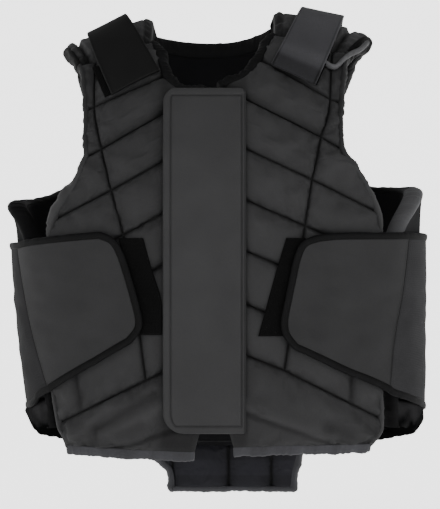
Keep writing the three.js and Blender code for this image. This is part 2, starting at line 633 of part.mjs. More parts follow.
// A patch of cloth between four edges that share their corners: top and bottom for u, start and end for v.
function between(top, bottom, start, end) {
  const lines = [top, bottom, start, end].map((rows) => lineThrough(placesOf(rows)));
  const [topAt, bottomAt, startAt, endAt] = lines;
  return (u, v) =>
    [0, 1].map((i) => {
      const rails = (1 - v) * topAt(u)[i] + v * bottomAt(u)[i];
      const ends = (1 - u) * startAt(v)[i] + u * endAt(v)[i];
      const nearEnd = (1 - v) * topAt(0)[i] + v * bottomAt(0)[i];
      const farEnd = (1 - v) * topAt(1)[i] + v * bottomAt(1)[i];
      return rails + ends - (1 - u) * nearEnd - u * farEnd;
    });
}

function clothOn(plan, side, us, vs, shift) {
  return slab(us, vs, (u, v, face) => {
    const [turn, z] = plan(u, v);
    return at(side * (turn + shift), z, FLAP_OUT + (face ? FLAP_THICKNESS : 0));
  });
}

for (const [name, flap] of Object.entries(WAIST_FLAPS)) {
  const back = [flap.stretchTop.at(-1), flap.stretchBottom.at(-1)];
  const front = between(flap.top, flap.bottom, flap.end, flap.seam);
  const stretch = between(flap.stretchTop, flap.stretchBottom, flap.seam, back);
  const frontCloth = clothOn(front, flap.side, steps(8), steps(FLAP_END_STEPS), -SEAM_GAP_TURN);
  const stretchCloth = clothOn(stretch, flap.side, steps(10), steps(8), SEAM_GAP_TURN);
  add(`waist_flap_${name}`, frontCloth, CHARCOAL);
  add(`flap_stretch_${name}`, stretchCloth, CHARCOAL);
}

// A strip that runs along an edge of a panel, a fit away from it. places are the edge's turns and heights in
// order, and way is 1 for a strip to the right of that line and -1 to its left, as seen from outside.
function strip(places, way, width, low, high, flares = places.map(() => 0)) {
  const edge = places.map(([turn, z], i) => at(turn, z, flares[i]));
  const frames = places.map(([turn, z], i) => {
    const here = bodyForm(turn, z);
    const ahead = edge[Math.min(edge.length - 1, i + 1)];
    const along = ahead.clone().sub(edge[Math.max(0, i - 1)]).normalize();
    const beside = new THREE.Vector3().crossVectors(along, here.normal).normalize();
    return { ...here, beside, flare: flares[i] };
  });
  return slab([0, 1], places.map((_, i) => i), (u, i, face) => {
    const { point, normal, beside, flare } = frames[i];
    return point
      .clone()
      .addScaledVector(normal, flare + (face ? high : low))
      .addScaledVector(beside, way * (FIT + u * width));
  });
}

// The flap's binding runs from the back panel along the top, round the end and back along the bottom.
for (const [name, flap] of Object.entries(WAIST_FLAPS)) {
  const run = (rows, count) => {
    const line = lineThrough(placesOf(rows));
    return steps(count).map((t) => line(t));
  };
  const topRun = [...run(flap.top, 4), ...run(flap.stretchTop, 6).slice(1)].reverse();
  const endRun = run(flap.end, FLAP_END_STEPS).slice(1);
  const bottomRun = [...run(flap.bottom, 5).slice(1), ...run(flap.stretchBottom, 7).slice(1)];
  const places = [...topRun, ...endRun, ...bottomRun].map(([turn, z]) => [flap.side * turn, z]);
  const high = FLAP_OUT + FLAP_THICKNESS + BINDING_PROUD;
  add(`flap_binding_${name}`, strip(places, flap.side, FLAP_BINDING_WIDTH, FLAP_OUT, high), BLACK_TRIM);
}

// Bindings round the panels' edges, thick enough to close the foam's edge.
const NECK_END = 3;
const PAD_BINDING_INSET = 0.02;
const BINDING_LOW = -PANEL_THICKNESS + LINING_ROUNDING - BINDING_PROUD;
const BINDING_HIGH = -EDGE_ROUNDING + BINDING_PROUD;

for (const [name, side, rows] of [["right", -1, RIGHT_FRONT_ROWS], ["left", 1, LEFT_FRONT_ROWS]]) {
  const plan = frontPanelPlan(rows, side);
  const edge = (u, vs) =>
    vs.map((v) => {
      const [x, z] = plan(u, v);
      return [turnAt(x, z), z];
    });
  const last = rows.length - 1;
  const neck = edge(0, FRONT_V.filter((v) => v < NECK_END));
  add(`neck_binding_${name}`, strip(neck, side, NECK_BINDING_WIDTH, BINDING_LOW, BINDING_HIGH), BLACK_TRIM);
  const armhole = edge(2, FRONT_V);
  const armholeBinding = strip(armhole, -side, EDGE_BINDING_WIDTH, BINDING_LOW, BINDING_HIGH);
  add(`armhole_binding_${name}`, armholeBinding, CHARCOAL);
  const hem = FRONT_U.map((u) => edge(u, [last])[0]);
  add(`hem_band_${name}`, strip(hem, side, HEM_BAND_WIDTH, BINDING_LOW, BINDING_HIGH), GREY_TRIM);
}

const backLast = RIGHT_BACK_ROWS.length - 1;
for (const [name, side] of [["right", -1], ["left", 1]]) {
  const places = BACK_V.map((v) => backPanelPlan(2 * side, v));
  const edge = places.map(({ turn, z }) => [turn, z]);
  const flares = places.map(({ flare }) => flare);
  add(
    `back_edge_binding_${name}`,
    strip(edge, side, EDGE_BINDING_WIDTH, BINDING_LOW, BINDING_HIGH, flares),
    BLACK_TRIM,
  );
}
const backEdge = (us, v) =>
  us.map((u) => {
    const { turn, z } = backPanelPlan(u, v);
    return [(turn + 360) % 360, z];
  });
const neckEdge = backEdge(BACK_U, 0);
add("neck_binding_back", strip(neckEdge, 1, EDGE_BINDING_WIDTH, BINDING_LOW, BINDING_HIGH), BLACK_TRIM);
const wholeHem = [...WING_U.slice(1).map((u) => -u).reverse(), ...BACK_U, ...WING_U.slice(1)];
const hemEdge = backEdge(wholeHem, backLast);
add("hem_band_back", strip(hemEdge, -1, EDGE_BINDING_WIDTH, BINDING_LOW, BINDING_HIGH), GREY_TRIM);

// The outer ends of the shoulder pads are bound too, where they stand out past the armholes.
for (const row of SHOULDERS) {
  const places = steps(12).map((v) => {
    const along = (2 * v - 1) * (1 - PAD_BINDING_INSET);
    const x = row.side * padReach(row, along);
    const drop = along > 0 ? padBackDrop(x) : PAD_FRONT_DROP;
    const z = ridgeAt(x) - drop * along * along;
    return [turnAt(x, z, along > 0), z];
  });
  add(
    `shoulder_pad_binding_${row.name}`,
    strip(places, row.side, EDGE_BINDING_WIDTH, BINDING_LOW, BINDING_HIGH),
    BLACK_TRIM,
  );
}

// The tail flap hangs below the back hem: foam blocks between upright channels, narrowing to its hem band.
const TAIL_V = table(["down", "right", "left"], [
  [0, 1, 1],
  [0.2, 0.96, 0.98],
  [0.45, 0.76, 0.95],
  [0.6, 0.67, 0.93],
  [1, 0.64, 0.905],
]);
const TAIL_CHANNELS = [0.16, 0.47, 0.8];
const TAIL_CHANNEL_SHARE = 0.035;
const TAIL_BLOCK_MIDDLES = [0.31, 0.63];
const TAIL_STEPS = 8;
const TAIL_U = [
  0,
  ...TAIL_CHANNELS.flatMap((c) => [c - TAIL_CHANNEL_SHARE, c, c + TAIL_CHANNEL_SHARE]),
  ...TAIL_BLOCK_MIDDLES,
  1,
].sort((a, b) => a - b);

function tailPlace(u, v) {
  const rightAt = lineThrough(TAIL_V.map((row) => [-row.right * TAIL_RIGHT_REACH, row.down]));
  const leftAt = lineThrough(TAIL_V.map((row) => [row.left * TAIL_LEFT_REACH, row.down]));
  const [right, down] = rightAt(v);
  const x = THREE.MathUtils.lerp(right, leftAt(v)[0], u);
  const hem = -FRONT_LENGTH * RIGHT_BACK_ROWS.at(-1).centreDown - 2 * FIT - EDGE_BINDING_WIDTH;
  const z = hem - down * TAIL_LENGTH;
  return [turnAt(x, z, true), z];
}

const tail = slab(TAIL_U, steps(TAIL_STEPS), (u, v, face) => {
  const [turn, z] = tailPlace(u, v);
  const onEdge = u === 0 || u === 1 || v === 0 || v === 1;
  const pinch = TAIL_CHANNELS.includes(u) ? 1 : 0;
  const rounding = onEdge ? EDGE_ROUNDING : (pinch * TAIL_CHANNEL_DEPTH) / 2;
  return at(turn, z, face ? -rounding : -TAIL_THICKNESS + rounding);
});
add("tail_flap", tail, CHARCOAL);

const tailEdge = [
  ...steps(TAIL_STEPS).map((v) => tailPlace(0, v)),
  ...TAIL_U.slice(1, -1).map((u) => tailPlace(u, 1)),
  ...steps(TAIL_STEPS).map((v) => tailPlace(1, 1 - v)),
].map(([turn, z]) => [(turn + 360) % 360, z]);
const TAIL_BINDING_LOW = -TAIL_THICKNESS + EDGE_ROUNDING - BINDING_PROUD;
add("tail_binding", strip(tailEdge, -1, EDGE_BINDING_WIDTH, TAIL_BINDING_LOW, BINDING_HIGH), GREY_TRIM);

export default group;
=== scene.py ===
# An equestrian body protector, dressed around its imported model: quilted foam panels, hook-and-loop
# shoulder straps, bound waist flaps and a tail flap. Metres, +Z up, the front faces -Y.
import math

import bmesh
import bpy
import numpy as np
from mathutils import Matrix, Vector, noise


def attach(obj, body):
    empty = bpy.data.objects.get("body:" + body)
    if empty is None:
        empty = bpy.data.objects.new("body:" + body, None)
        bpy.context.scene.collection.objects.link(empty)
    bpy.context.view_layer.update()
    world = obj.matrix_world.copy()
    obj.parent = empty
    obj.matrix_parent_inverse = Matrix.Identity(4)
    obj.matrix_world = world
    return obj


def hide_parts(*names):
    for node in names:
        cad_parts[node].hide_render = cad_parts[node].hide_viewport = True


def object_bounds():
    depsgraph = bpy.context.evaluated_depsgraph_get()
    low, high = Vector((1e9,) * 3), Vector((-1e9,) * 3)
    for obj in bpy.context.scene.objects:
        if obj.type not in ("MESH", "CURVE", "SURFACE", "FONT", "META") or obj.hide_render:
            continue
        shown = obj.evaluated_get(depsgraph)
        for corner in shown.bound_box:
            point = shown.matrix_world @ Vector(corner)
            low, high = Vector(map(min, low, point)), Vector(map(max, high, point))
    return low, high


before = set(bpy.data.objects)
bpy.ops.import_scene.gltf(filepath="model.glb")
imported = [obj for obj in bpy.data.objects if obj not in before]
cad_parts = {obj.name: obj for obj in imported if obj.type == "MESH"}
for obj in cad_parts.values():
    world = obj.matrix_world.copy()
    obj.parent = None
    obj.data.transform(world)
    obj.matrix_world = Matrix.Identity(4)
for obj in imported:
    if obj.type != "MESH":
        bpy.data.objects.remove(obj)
cad_box = [list(corner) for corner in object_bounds()]

# The view. The camera stands level in front of the chest, three metres off, with a long lens, and the
# vest hangs over a wide pale floor that curves up far away all round, in soft light from two large panels.
CAMERA_DISTANCE = 3.0
CHEST_DEPTH = 0.14
VIEW_CENTRE = Vector((0.0072, 0, -0.221))
MM_PER_PIXEL_ON_CHEST = 1.03
PIXELS_HIGH = 509
SENSOR = 36

camera_data = bpy.data.cameras.new("camera")
camera_data.sensor_width = SENSOR
view_height = MM_PER_PIXEL_ON_CHEST * PIXELS_HIGH / 1000
camera_data.lens = SENSOR * (CAMERA_DISTANCE - CHEST_DEPTH) / view_height
camera = bpy.data.objects.new("camera", camera_data)
camera.location = VIEW_CENTRE + Vector((0, -CAMERA_DISTANCE, 0))
camera.rotation_euler = (math.radians(90), 0, 0)
bpy.context.scene.collection.objects.link(camera)
bpy.context.scene.camera = camera

FLOOR_DROP = 0.06
FLOOR_HEIGHT = cad_box[0][2] - FLOOR_DROP
FLOOR_REACH = 12
FLAT_REACH = 6
WALL_CURVE = 0.1
PAPER_GLOW = 2.0
AIR_BRIGHTNESS = 0.55

studio_mesh = bmesh.new()
bmesh.ops.create_grid(studio_mesh, x_segments=40, y_segments=40, size=FLOOR_REACH)
for vertex in studio_mesh.verts:
    beyond = max(0, math.hypot(vertex.co.x, vertex.co.y) - FLAT_REACH)
    vertex.co.z = FLOOR_HEIGHT + WALL_CURVE * beyond ** 2
for face in studio_mesh.faces:
    face.smooth = True
studio_data = bpy.data.meshes.new("studio")
studio_mesh.to_mesh(studio_data)
studio_mesh.free()
studio = bpy.data.objects.new("studio", studio_data)
bpy.context.scene.collection.objects.link(studio)

paper = bpy.data.materials.new("pale paper")
paper.use_nodes = True
paper_shader = paper.node_tree.nodes["Principled BSDF"]
paper_shader.inputs["Base Color"].default_value = (0.95, 0.95, 0.95, 1)
paper_shader.inputs["Roughness"].default_value = 0.9
paper_shader.inputs["Emission Color"].default_value = (1, 1, 1, 1)
paper_shader.inputs["Emission Strength"].default_value = PAPER_GLOW
studio_data.materials.append(paper)

world = bpy.data.worlds.new("studio air")
bpy.context.scene.world = world
world.use_nodes = True
world.node_tree.nodes["Background"].inputs["Color"].default_value = (1, 1, 1, 1)
world.node_tree.nodes["Background"].inputs["Strength"].default_value = AIR_BRIGHTNESS


def softbox(name, place, aim, size, watts):
    data = bpy.data.lights.new(name, "AREA")
    data.shape = "RECTANGLE"
    data.size, data.size_y = size
    data.energy = watts
    lamp = bpy.data.objects.new(name, data)
    lamp.location = place
    lamp.rotation_euler = (Vector(aim) - Vector(place)).to_track_quat("-Z", "Y").to_euler()
    bpy.context.scene.collection.objects.link(lamp)


CHEST = (0, 0, -0.2)
softbox("key light", (-0.7, -2.5, 1.9), CHEST, size=(1.4, 1.4), watts=42)
softbox("fill light", (1.8, -2.4, 0.6), CHEST, size=(1.6, 1.6), watts=24)

# The front panels. Each is one block of 20 mm foam between a smooth charcoal cloth and a dark lining,
# sewn through in slanting channels and down one long upright seam. They are cut to the chest's form,
# which every other piece follows too, and zipped together down the middle.
FRONT_LENGTH = 0.436
HALF_WIDTH = 0.216
FRONT_DEPTH = 0.138
BACK_DEPTH = 0.130
ROUNDNESS = 2.4
PANEL_THICKNESS = 0.020
CHANNEL_DEPTH = 0.005
FIT = 0.0006

# Rows from the shoulders down: how far down as a share of the front length, then the half widths to the
# wearer's right and left, and the depths to the front and back, as shares of their sizes above.
CHEST_FORM = np.array([
    (-0.12, 0.1, 0.16, 0.05, 0.12),
    (-0.096, 0.17, 0.31, 0.09, 0.26),
    (-0.073, 0.333, 0.477, 0.18, 0.42),
    (-0.037, 0.54, 0.742, 0.31, 0.59),
    (0, 0.745, 0.875, 0.45, 0.73),
    (0.05, 0.825, 0.917, 0.62, 0.87),
    (0.124, 0.895, 0.958, 0.8, 0.97),
    (0.245, 0.945, 1.0, 0.94, 1.015),
    (0.344, 0.968, 1.019, 0.993, 1.01),
    (0.47, 0.975, 1.026, 1.0, 0.97),
    (0.688, 0.945, 1.026, 0.97, 0.9),
    (0.881, 0.895, 1.02, 0.935, 0.885),
    (1.0, 0.87, 1.0, 0.92, 0.89),
    (1.16, 0.845, 0.98, 0.905, 0.9),
])
TO_THE_RIGHT, TO_THE_LEFT, TO_THE_FRONT, TO_THE_BACK = 1, 2, 3, 4
RIDGE_LOWEST, RIDGE_HIGHEST = -0.05, 0.12
HALVINGS = 24


def lerp(a, b, share):
    return a + (b - a) * share


def form_reach(column, size, z):
    """How far the form reaches one way at a height, and how fast that changes going up."""
    down = np.clip(-z / FRONT_LENGTH, CHEST_FORM[0, 0], CHEST_FORM[-1, 0])
    rows = CHEST_FORM[:, 0]
    values = CHEST_FORM[:, column]
    before = np.maximum(np.arange(len(rows)) - 1, 0)
    after = np.minimum(np.arange(len(rows)) + 1, len(rows) - 1)
    slopes = (values[after] - values[before]) / (rows[after] - rows[before])
    k = np.clip(np.searchsorted(rows, down), 1, len(rows) - 1)
    span = rows[k] - rows[k - 1]
    t = (down - rows[k - 1]) / span
    m0, m1 = slopes[k - 1] * span, slopes[k] * span
    rise = values[k] - values[k - 1]
    reach = values[k - 1] + t * (m0 + t * (3 * rise - 2 * m0 - m1 + t * (m0 + m1 - 2 * rise)))
    slope = (m0 + t * (2 * (3 * rise - 2 * m0 - m1) + 3 * t * (m0 + m1 - 2 * rise))) / span
    return reach * size, -slope * size / FRONT_LENGTH


def half_width(z, side):
    right, right_slope = form_reach(TO_THE_RIGHT, HALF_WIDTH, z)
    left, left_slope = form_reach(TO_THE_LEFT, HALF_WIDTH, z)
    return np.where(side < 0, right, left), np.where(side < 0, right_slope, left_slope)


def depth_of_form(z, back):
    front, front_slope = form_reach(TO_THE_FRONT, FRONT_DEPTH, z)
    rear, rear_slope = form_reach(TO_THE_BACK, BACK_DEPTH, z)
    return np.where(back, rear, front), np.where(back, rear_slope, front_slope)


def chest_form(turn, z):
    """The form's surface at a turn in degrees from the centre front and a height, and its normal."""
    turn, z = np.broadcast_arrays(np.asarray(turn, float), np.asarray(z, float))
    s, c = np.sin(np.radians(turn)), np.cos(np.radians(turn))
    half, half_slope = half_width(z, s)
    depth, depth_slope = depth_of_form(z, c < 0)
    x = np.sign(s) * np.abs(s) ** (2 / ROUNDNESS)
    y = -np.sign(c) * np.abs(c) ** (2 / ROUNDNESS)
    across = np.sign(x) * np.abs(x) ** (ROUNDNESS - 1) / half
    ahead = np.sign(y) * np.abs(y) ** (ROUNDNESS - 1) / depth
    upward = -np.abs(x) ** ROUNDNESS * half_slope / half - np.abs(y) ** ROUNDNESS * depth_slope / depth
    normal = np.stack([across, ahead, upward], -1)
    normal /= np.linalg.norm(normal, axis=-1, keepdims=True)
    return np.stack([x * half, y * depth, z], -1), normal


def out_of_form(turn, z, out):
    point, normal = chest_form(turn, z)
    return point + normal * np.asarray(out)[..., None]


def turn_at(x, z, back=False):
    """The turn at which the form reaches x at a height, on its front or its back."""
    share = np.minimum(1, np.abs(x) / half_width(z, x)[0])
    turn = np.degrees(np.arcsin(share ** (ROUNDNESS / 2)))
    return np.where(x < 0, -1, 1) * np.where(back, 180 - turn, turn)


def ridge_at(x):
    """The height of the shoulder's ridge at x, where the form is as narrow as x."""
    x = np.asarray(x, float)
    low = np.full(x.shape, RIDGE_LOWEST * FRONT_LENGTH)
    high = np.full(x.shape, RIDGE_HIGHEST * FRONT_LENGTH)
    for _ in range(HALVINGS):
        middle = (low + high) / 2
        wider = half_width(middle, x)[0] > np.abs(x)
        low = np.where(wider, middle, low)
        high = np.where(wider, high, middle)
    return (low + high) / 2


def smooth_line(places):
    """A smooth line through places: line(t) gives a place for t from 0 to 1."""
    points = np.array(places, float)
    points = np.vstack([2 * points[0] - points[1], points, 2 * points[-1] - points[-2]])
    last = len(places) - 2

    def line(t):
        along = np.clip(np.asarray(t, float), 0, 1) * (last + 1)
        k = np.minimum(along.astype(int), last)
        w = (along - k)[..., None]
        p0, p1, p2, p3 = points[k], points[k + 1], points[k + 2], points[k + 3]
        m1, m2 = (p2 - p0) / 2, (p3 - p1) / 2
        return p1 + w * (m1 + w * (-3 * p1 + 3 * p2 - 2 * m1 - m2 + w * (2 * p1 - 2 * p2 + m1 + m2)))

    return line


def close_lines(intervals, steps, closeness):
    """Grid lines over a number of intervals, closer together near each interval's ends."""
    s = np.arange(steps) / steps
    inside = s - closeness * np.sin(2 * np.pi * s) / (2 * np.pi)
    lines = (np.arange(intervals)[:, None] + inside[None, :]).ravel()
    return np.append(lines, intervals)


def mesh_points(mesh):
    points = np.empty(len(mesh.vertices) * 3)
    mesh.vertices.foreach_get("co", points)
    return points.reshape(-1, 3)


def grid_lines(points, columns, rows):
    """Which column and row of a one metre grid about the origin each point lies on."""
    i = np.rint((points[:, 0] + 0.5) * (columns - 1)).astype(int)
    j = np.rint((points[:, 1] + 0.5) * (rows - 1)).astype(int)
    return i, j


def lay_cloth_map(mesh, places):
    """A UV map in metres on the cloth, from each vertex's place, so that the weave keeps its size."""
    corners = np.empty(len(mesh.loops), int)
    mesh.loops.foreach_get("vertex_index", corners)
    layer = mesh.uv_layers.new(name="cloth")
    layer.data.foreach_set("uv", places[corners].ravel())


def lengths_over(place, us, vs):
    """How far across and along its outer cloth a block's grid lines lie, in metres."""
    grid_u, grid_v = np.meshgrid(us, vs, indexing="ij")
    surface = place(grid_u.ravel(), grid_v.ravel(), np.ones(grid_u.size)).reshape(len(us), len(vs), 3)
    across = np.linalg.norm(np.diff(surface, axis=0), axis=-1).mean(axis=1)
    along = np.linalg.norm(np.diff(surface, axis=1), axis=-1).mean(axis=0)
    return np.concatenate([[0], np.cumsum(across)]), np.concatenate([[0], np.cumsum(along)])


def outside(mesh, sealed=True):
    """Turns every face outwards and shades the mesh smooth. A mesh that isn't sealed is closed first."""
    shell = bmesh.new()
    shell.from_mesh(mesh)
    if not sealed:
        bmesh.ops.remove_doubles(shell, verts=shell.verts[:], dist=1e-5)
        bmesh.ops.holes_fill(shell, edges=[edge for edge in shell.edges if edge.is_boundary])
    bmesh.ops.recalc_face_normals(shell, faces=shell.faces[:])
    for face in shell.faces:
        face.smooth = True
    shell.to_mesh(mesh)
    shell.free()


def new_piece(name, mesh):
    piece = bpy.data.objects.new(name, mesh)
    bpy.context.scene.collection.objects.link(piece)
    return piece


def put_in_order(block, columns, rows):
    """Sorts a block's parts by where they lie, so that its cloth settles in the same way in every run."""
    def number_of(part):
        corners = [part] if isinstance(part, bmesh.types.BMVert) else part.verts
        middle = sum((corner.co for corner in corners), Vector()) / len(corners)
        column = round(2 * (middle.x + 0.5) * (columns - 1))
        row = round(2 * (middle.y + 0.5) * (rows - 1))
        return column + 1000 * (row + 1000 * round(-8 * middle.z))

    for parts in (block.verts, block.edges, block.faces):
        parts.sort(key=number_of)


def padded_block(name, us, vs, place, rim_cuts=3):
    """A closed block over a grid: place(u, v, face) gives its points, face 0 on the lining, 1 outside."""
    block = bmesh.new()
    bmesh.ops.create_grid(block, x_segments=len(us) - 1, y_segments=len(vs) - 1, size=0.5)
    pushed = bmesh.ops.extrude_face_region(block, geom=block.faces[:], use_keep_orig=True)
    lower = [item for item in pushed["geom"] if isinstance(item, bmesh.types.BMVert)]
    bmesh.ops.translate(block, verts=lower, vec=(0, 0, -1))
    walls = [edge for edge in block.edges if abs(edge.verts[0].co.z - edge.verts[1].co.z) > 0.5]
    bmesh.ops.subdivide_edges(block, edges=walls, cuts=rim_cuts, use_grid_fill=True)
    put_in_order(block, len(us), len(vs))
    mesh = bpy.data.meshes.new(name)
    block.to_mesh(mesh)
    block.free()
    on_grid = mesh_points(mesh)
    i, j = grid_lines(on_grid, len(us), len(vs))
    u, v, face = np.asarray(us)[i], np.asarray(vs)[j], 1 + on_grid[:, 2]
    mesh.vertices.foreach_set("co", place(u, v, face).ravel())
    across, along = lengths_over(place, us, vs)
    lay_cloth_map(mesh, np.stack([across[i], along[j]], -1))
    outside(mesh)
    return new_piece(name, mesh), u, v, face


# Rows of a front panel from the shoulder pad down to the hem: how far across and down the inner edge, the
# upright seam and the outer edge lie, as shares of the half width and front length, and whether it is sewn.
RIGHT_FRONT_ROWS = [
    (0.305, 0, 0.58, 0.04, 0.665, 0.06, 0),
    (0.235, 0.073, 0.582, 0.15, 0.628, 0.16, 1),
    (0.14, 0.111, 0.565, 0.203, 0.625, 0.218, 0),
    (0.04, 0.112, 0.543, 0.254, 0.628, 0.276, 1),
    (0.04, 0.172, 0.518, 0.304, 0.68, 0.338, 0),
    (0.04, 0.229, 0.493, 0.354, 0.785, 0.426, 1),
    (0.04, 0.355, 0.435, 0.461, 0.815, 0.556, 1),
    (0.04, 0.482, 0.392, 0.57, 0.812, 0.669, 1),
    (0.04, 0.61, 0.359, 0.686, 0.805, 0.785, 1),
    (0.04, 0.738, 0.326, 0.807, 0.765, 0.915, 1),
    (0.044, 0.88, 0.302, 0.922, 0.742, 0.941, 0),
    (0.091, 0.98, 0.302, 0.977, 0.716, 0.97, 0),
]
LEFT_FRONT_ROWS = [
    (0.305, -0.01, 0.59, 0.02, 0.673, 0.03, 0),
    (0.23, 0.031, 0.571, 0.131, 0.631, 0.142, 1),
    (0.145, 0.077, 0.554, 0.179, 0.624, 0.187, 0),
    (0.04, 0.103, 0.523, 0.225, 0.637, 0.257, 1),
    (0.04, 0.165, 0.503, 0.275, 0.7, 0.298, 0),
    (0.04, 0.227, 0.478, 0.328, 0.81, 0.407, 1),
    (0.04, 0.352, 0.444, 0.439, 0.82, 0.52, 1),
    (0.04, 0.475, 0.411, 0.551, 0.82, 0.642, 1),
    (0.04, 0.6, 0.382, 0.672, 0.82, 0.772, 1),
    (0.04, 0.723, 0.344, 0.783, 0.83, 0.904, 1),
    (0.044, 0.86, 0.321, 0.9, 0.82, 0.936, 0),
    (0.1, 0.969, 0.33, 0.965, 0.77, 0.966, 0),
]
ZIP_HALF_WIDTH = 0.008
PAD_FRONT_DROP = 0.028
CREASE_WIDTH = 0.0022
DIP_WIDTH = 0.007
CREASE_SHARE = 0.7
# Seams: dark thread and painted shade in the crease, and a painted shadow beside it.
CREASE_SHADE = 0.85
CREASE_SHADE_WIDTH = 0.0016
SEAM_SIDE_SHADOW_WIDTH = 0.006
SEAM_SIDE_SHADOW = 0.28
RIM_ROUNDING = 0.003
RIM_WIDTH = 0.006
FOAM_CROWN = 0.0012
CROWN_WIDTH = 0.014
CLOTH_MASS = 0.3
PUFF_STEPS = 20
PUFF_CAP = 0.003
SEAM_HELD = 0.0015
RIM_HELD = 0.002
OUTSIDE_FROM = 0.6
PATCHES_PER_METRE = 22
SPECKS_PER_METRE = 700
WAVE_REPEAT = 0.314


def front_plan(rows, side):
    """x and height of a front panel at u, 0 at the zip, 1 on the upright seam, 2 outside, and at row v."""
    places = np.array([row[:6] for row in rows]) * ([HALF_WIDTH, -FRONT_LENGTH] * 3)
    inner, seam, outer = (smooth_line(places[:, c:c + 2]) for c in (0, 2, 4))

    def plan(u, v):
        t = v / (len(rows) - 1)
        near, middle, far = inner(t), seam(t), outer(t)
        near[..., 0] = np.maximum(near[..., 0], ZIP_HALF_WIDTH + FIT)
        beyond = (u >= 1)[..., None]
        start, end = np.where(beyond, middle, near), np.where(beyond, far, middle)
        share = np.where(u >= 1, u - 1, u)
        x = side * lerp(start[..., 0], end[..., 0], share)
        z = lerp(start[..., 1], end[..., 1], share)
        top = ridge_at(x) - PAD_FRONT_DROP - FIT
        return x, np.where(v < 1, lerp(top, z, np.minimum(v, 1)), z)

    return plan


def cloth_steps(place, u, v):
    """How the surface runs at each grid point: metres for a step of u, of v, and square to each."""
    small = 0.004
    a, b = place(u - small, v), place(u + small, v)
    c, d = place(u, v - small), place(u, v + small)
    over_u, over_v = (b - a) / (2 * small), (d - c) / (2 * small)
    area = np.linalg.norm(np.cross(over_u, over_v), axis=-1)
    long_u, long_v = np.linalg.norm(over_u, axis=-1), np.linalg.norm(over_v, axis=-1)
    return area / long_v, area / long_u


def bell(distance, width):
    """1 at no distance, falling softly to nothing past about twice the width."""
    return np.exp(-(distance / width) ** 2)


def sewn_depth(distance, depth):
    """How deep the cloth is drawn in beside a seam: a sharp crease in a soft dip."""
    crease = CREASE_SHARE * np.exp(-(distance / CREASE_WIDTH) ** 1.4)
    dip = (1 - CREASE_SHARE) * bell(distance, DIP_WIDTH)
    return depth * (crease + dip)


def seam_shade(distance):
    """Painted shade near a seam: black in the stitched crease, for its dark thread and the shadow in it, and
    a painted shadow for a way beside it.
    """
    return CREASE_SHADE * bell(distance, CREASE_SHADE_WIDTH) + SEAM_SIDE_SHADOW * np.exp(-distance / SEAM_SIDE_SHADOW_WIDTH)


def shade(mesh, amount):
    """Stores how much darker, up to 1, or lighter, down to -1, than its cloth each point of a mesh is."""
    layer = mesh.attributes.new("shade", "FLOAT", "POINT")
    layer.data.foreach_set("value", np.broadcast_to(amount, len(mesh.vertices)).astype(np.float32))


def near_line(x, z, start, end, width):
    """1 on a line from start to end, falling to 0 beside it and past its ends."""
    way_x, way_z = end[0] - start[0], end[1] - start[1]
    share = ((x - start[0]) * way_x + (z - start[1]) * way_z) / (way_x ** 2 + way_z ** 2)
    share = np.clip(share, 0, 1)
    return np.exp(-((x - start[0] - share * way_x) ** 2 + (z - start[1] - share * way_z) ** 2) / width ** 2)


def uneven(points, size, height, seed=0.0):
    """A soft unevenness over points, in waves about as long as size."""
    scaled = np.asarray(points).reshape(-1, 3) / size + seed
    values = [noise.noise(place) for place in scaled.tolist()]
    return height * np.array(values).reshape(np.shape(points)[:-1])


def rounding(rim):
    """How far a block's rounded rim has fallen from its face, at a distance from the rim."""
    return RIM_ROUNDING * np.clip(1 - rim / RIM_WIDTH, 0, 1) ** 2


def foam_surface(distance, rim, depth):
    """How far out of the form the outer cloth lies, from its distances to the nearest seam and rim."""
    crown = FOAM_CROWN * (1 - np.exp(-distance / CROWN_WIDTH))
    return crown - sewn_depth(distance, depth) - rounding(rim)


def puff(piece, pinned, pressure, spare_cloth, cap):
    """Lets the cloth of a sewn block bulge and wrinkle between its seams, by at most cap."""
    held = piece.vertex_groups.new(name="sewn")
    held.add(np.flatnonzero(pinned).tolist(), 1, "REPLACE")
    cloth = piece.modifiers.new("cloth", "CLOTH")
    cloth.settings.vertex_group_mass = "sewn"
    cloth.settings.pin_stiffness = 10
    cloth.settings.quality = 4
    cloth.settings.mass = CLOTH_MASS
    cloth.settings.use_pressure = True
    cloth.settings.uniform_pressure_force = pressure
    cloth.settings.shrink_min = -spare_cloth
    cloth.settings.effector_weights.gravity = 0
    cloth.collision_settings.use_collision = False
    cloth.point_cache.frame_start = 1
    cloth.point_cache.frame_end = PUFF_STEPS
    for step in range(1, PUFF_STEPS + 1):
        bpy.context.scene.frame_set(step)
    relaxed = piece.evaluated_get(bpy.context.evaluated_depsgraph_get())
    before = mesh_points(piece.data)
    moved = mesh_points(relaxed.data) - before
    length = np.linalg.norm(moved, axis=1, keepdims=True)
    moved *= np.minimum(1, cap / np.maximum(length, 1e-9))
    piece.modifiers.remove(cloth)
    piece.vertex_groups.remove(held)
    piece.data.vertices.foreach_set("co", (before + moved).ravel())
    bpy.context.scene.frame_set(1)


def linked(tree, kind, **inputs):
    """A new node of a material, with its inputs linked or set by name."""
    node = tree.nodes.new(kind)
    for name, value in inputs.items():
        socket = node.inputs[name.replace("_", " ")]
        if isinstance(value, bpy.types.NodeSocket):
            tree.links.new(value, socket)
        else:
            socket.default_value = value
    return node


def added(tree, value, share, more):
    """A node's value times a share, plus more, which is another value or a number."""
    node = tree.nodes.new("ShaderNodeMath")
    node.operation = "MULTIPLY_ADD"
    tree.links.new(value, node.inputs[0])
    node.inputs[1].default_value = share
    if isinstance(more, bpy.types.NodeSocket):
        tree.links.new(more, node.inputs[2])
    else:
        node.inputs[2].default_value = more
    return node.outputs[0]


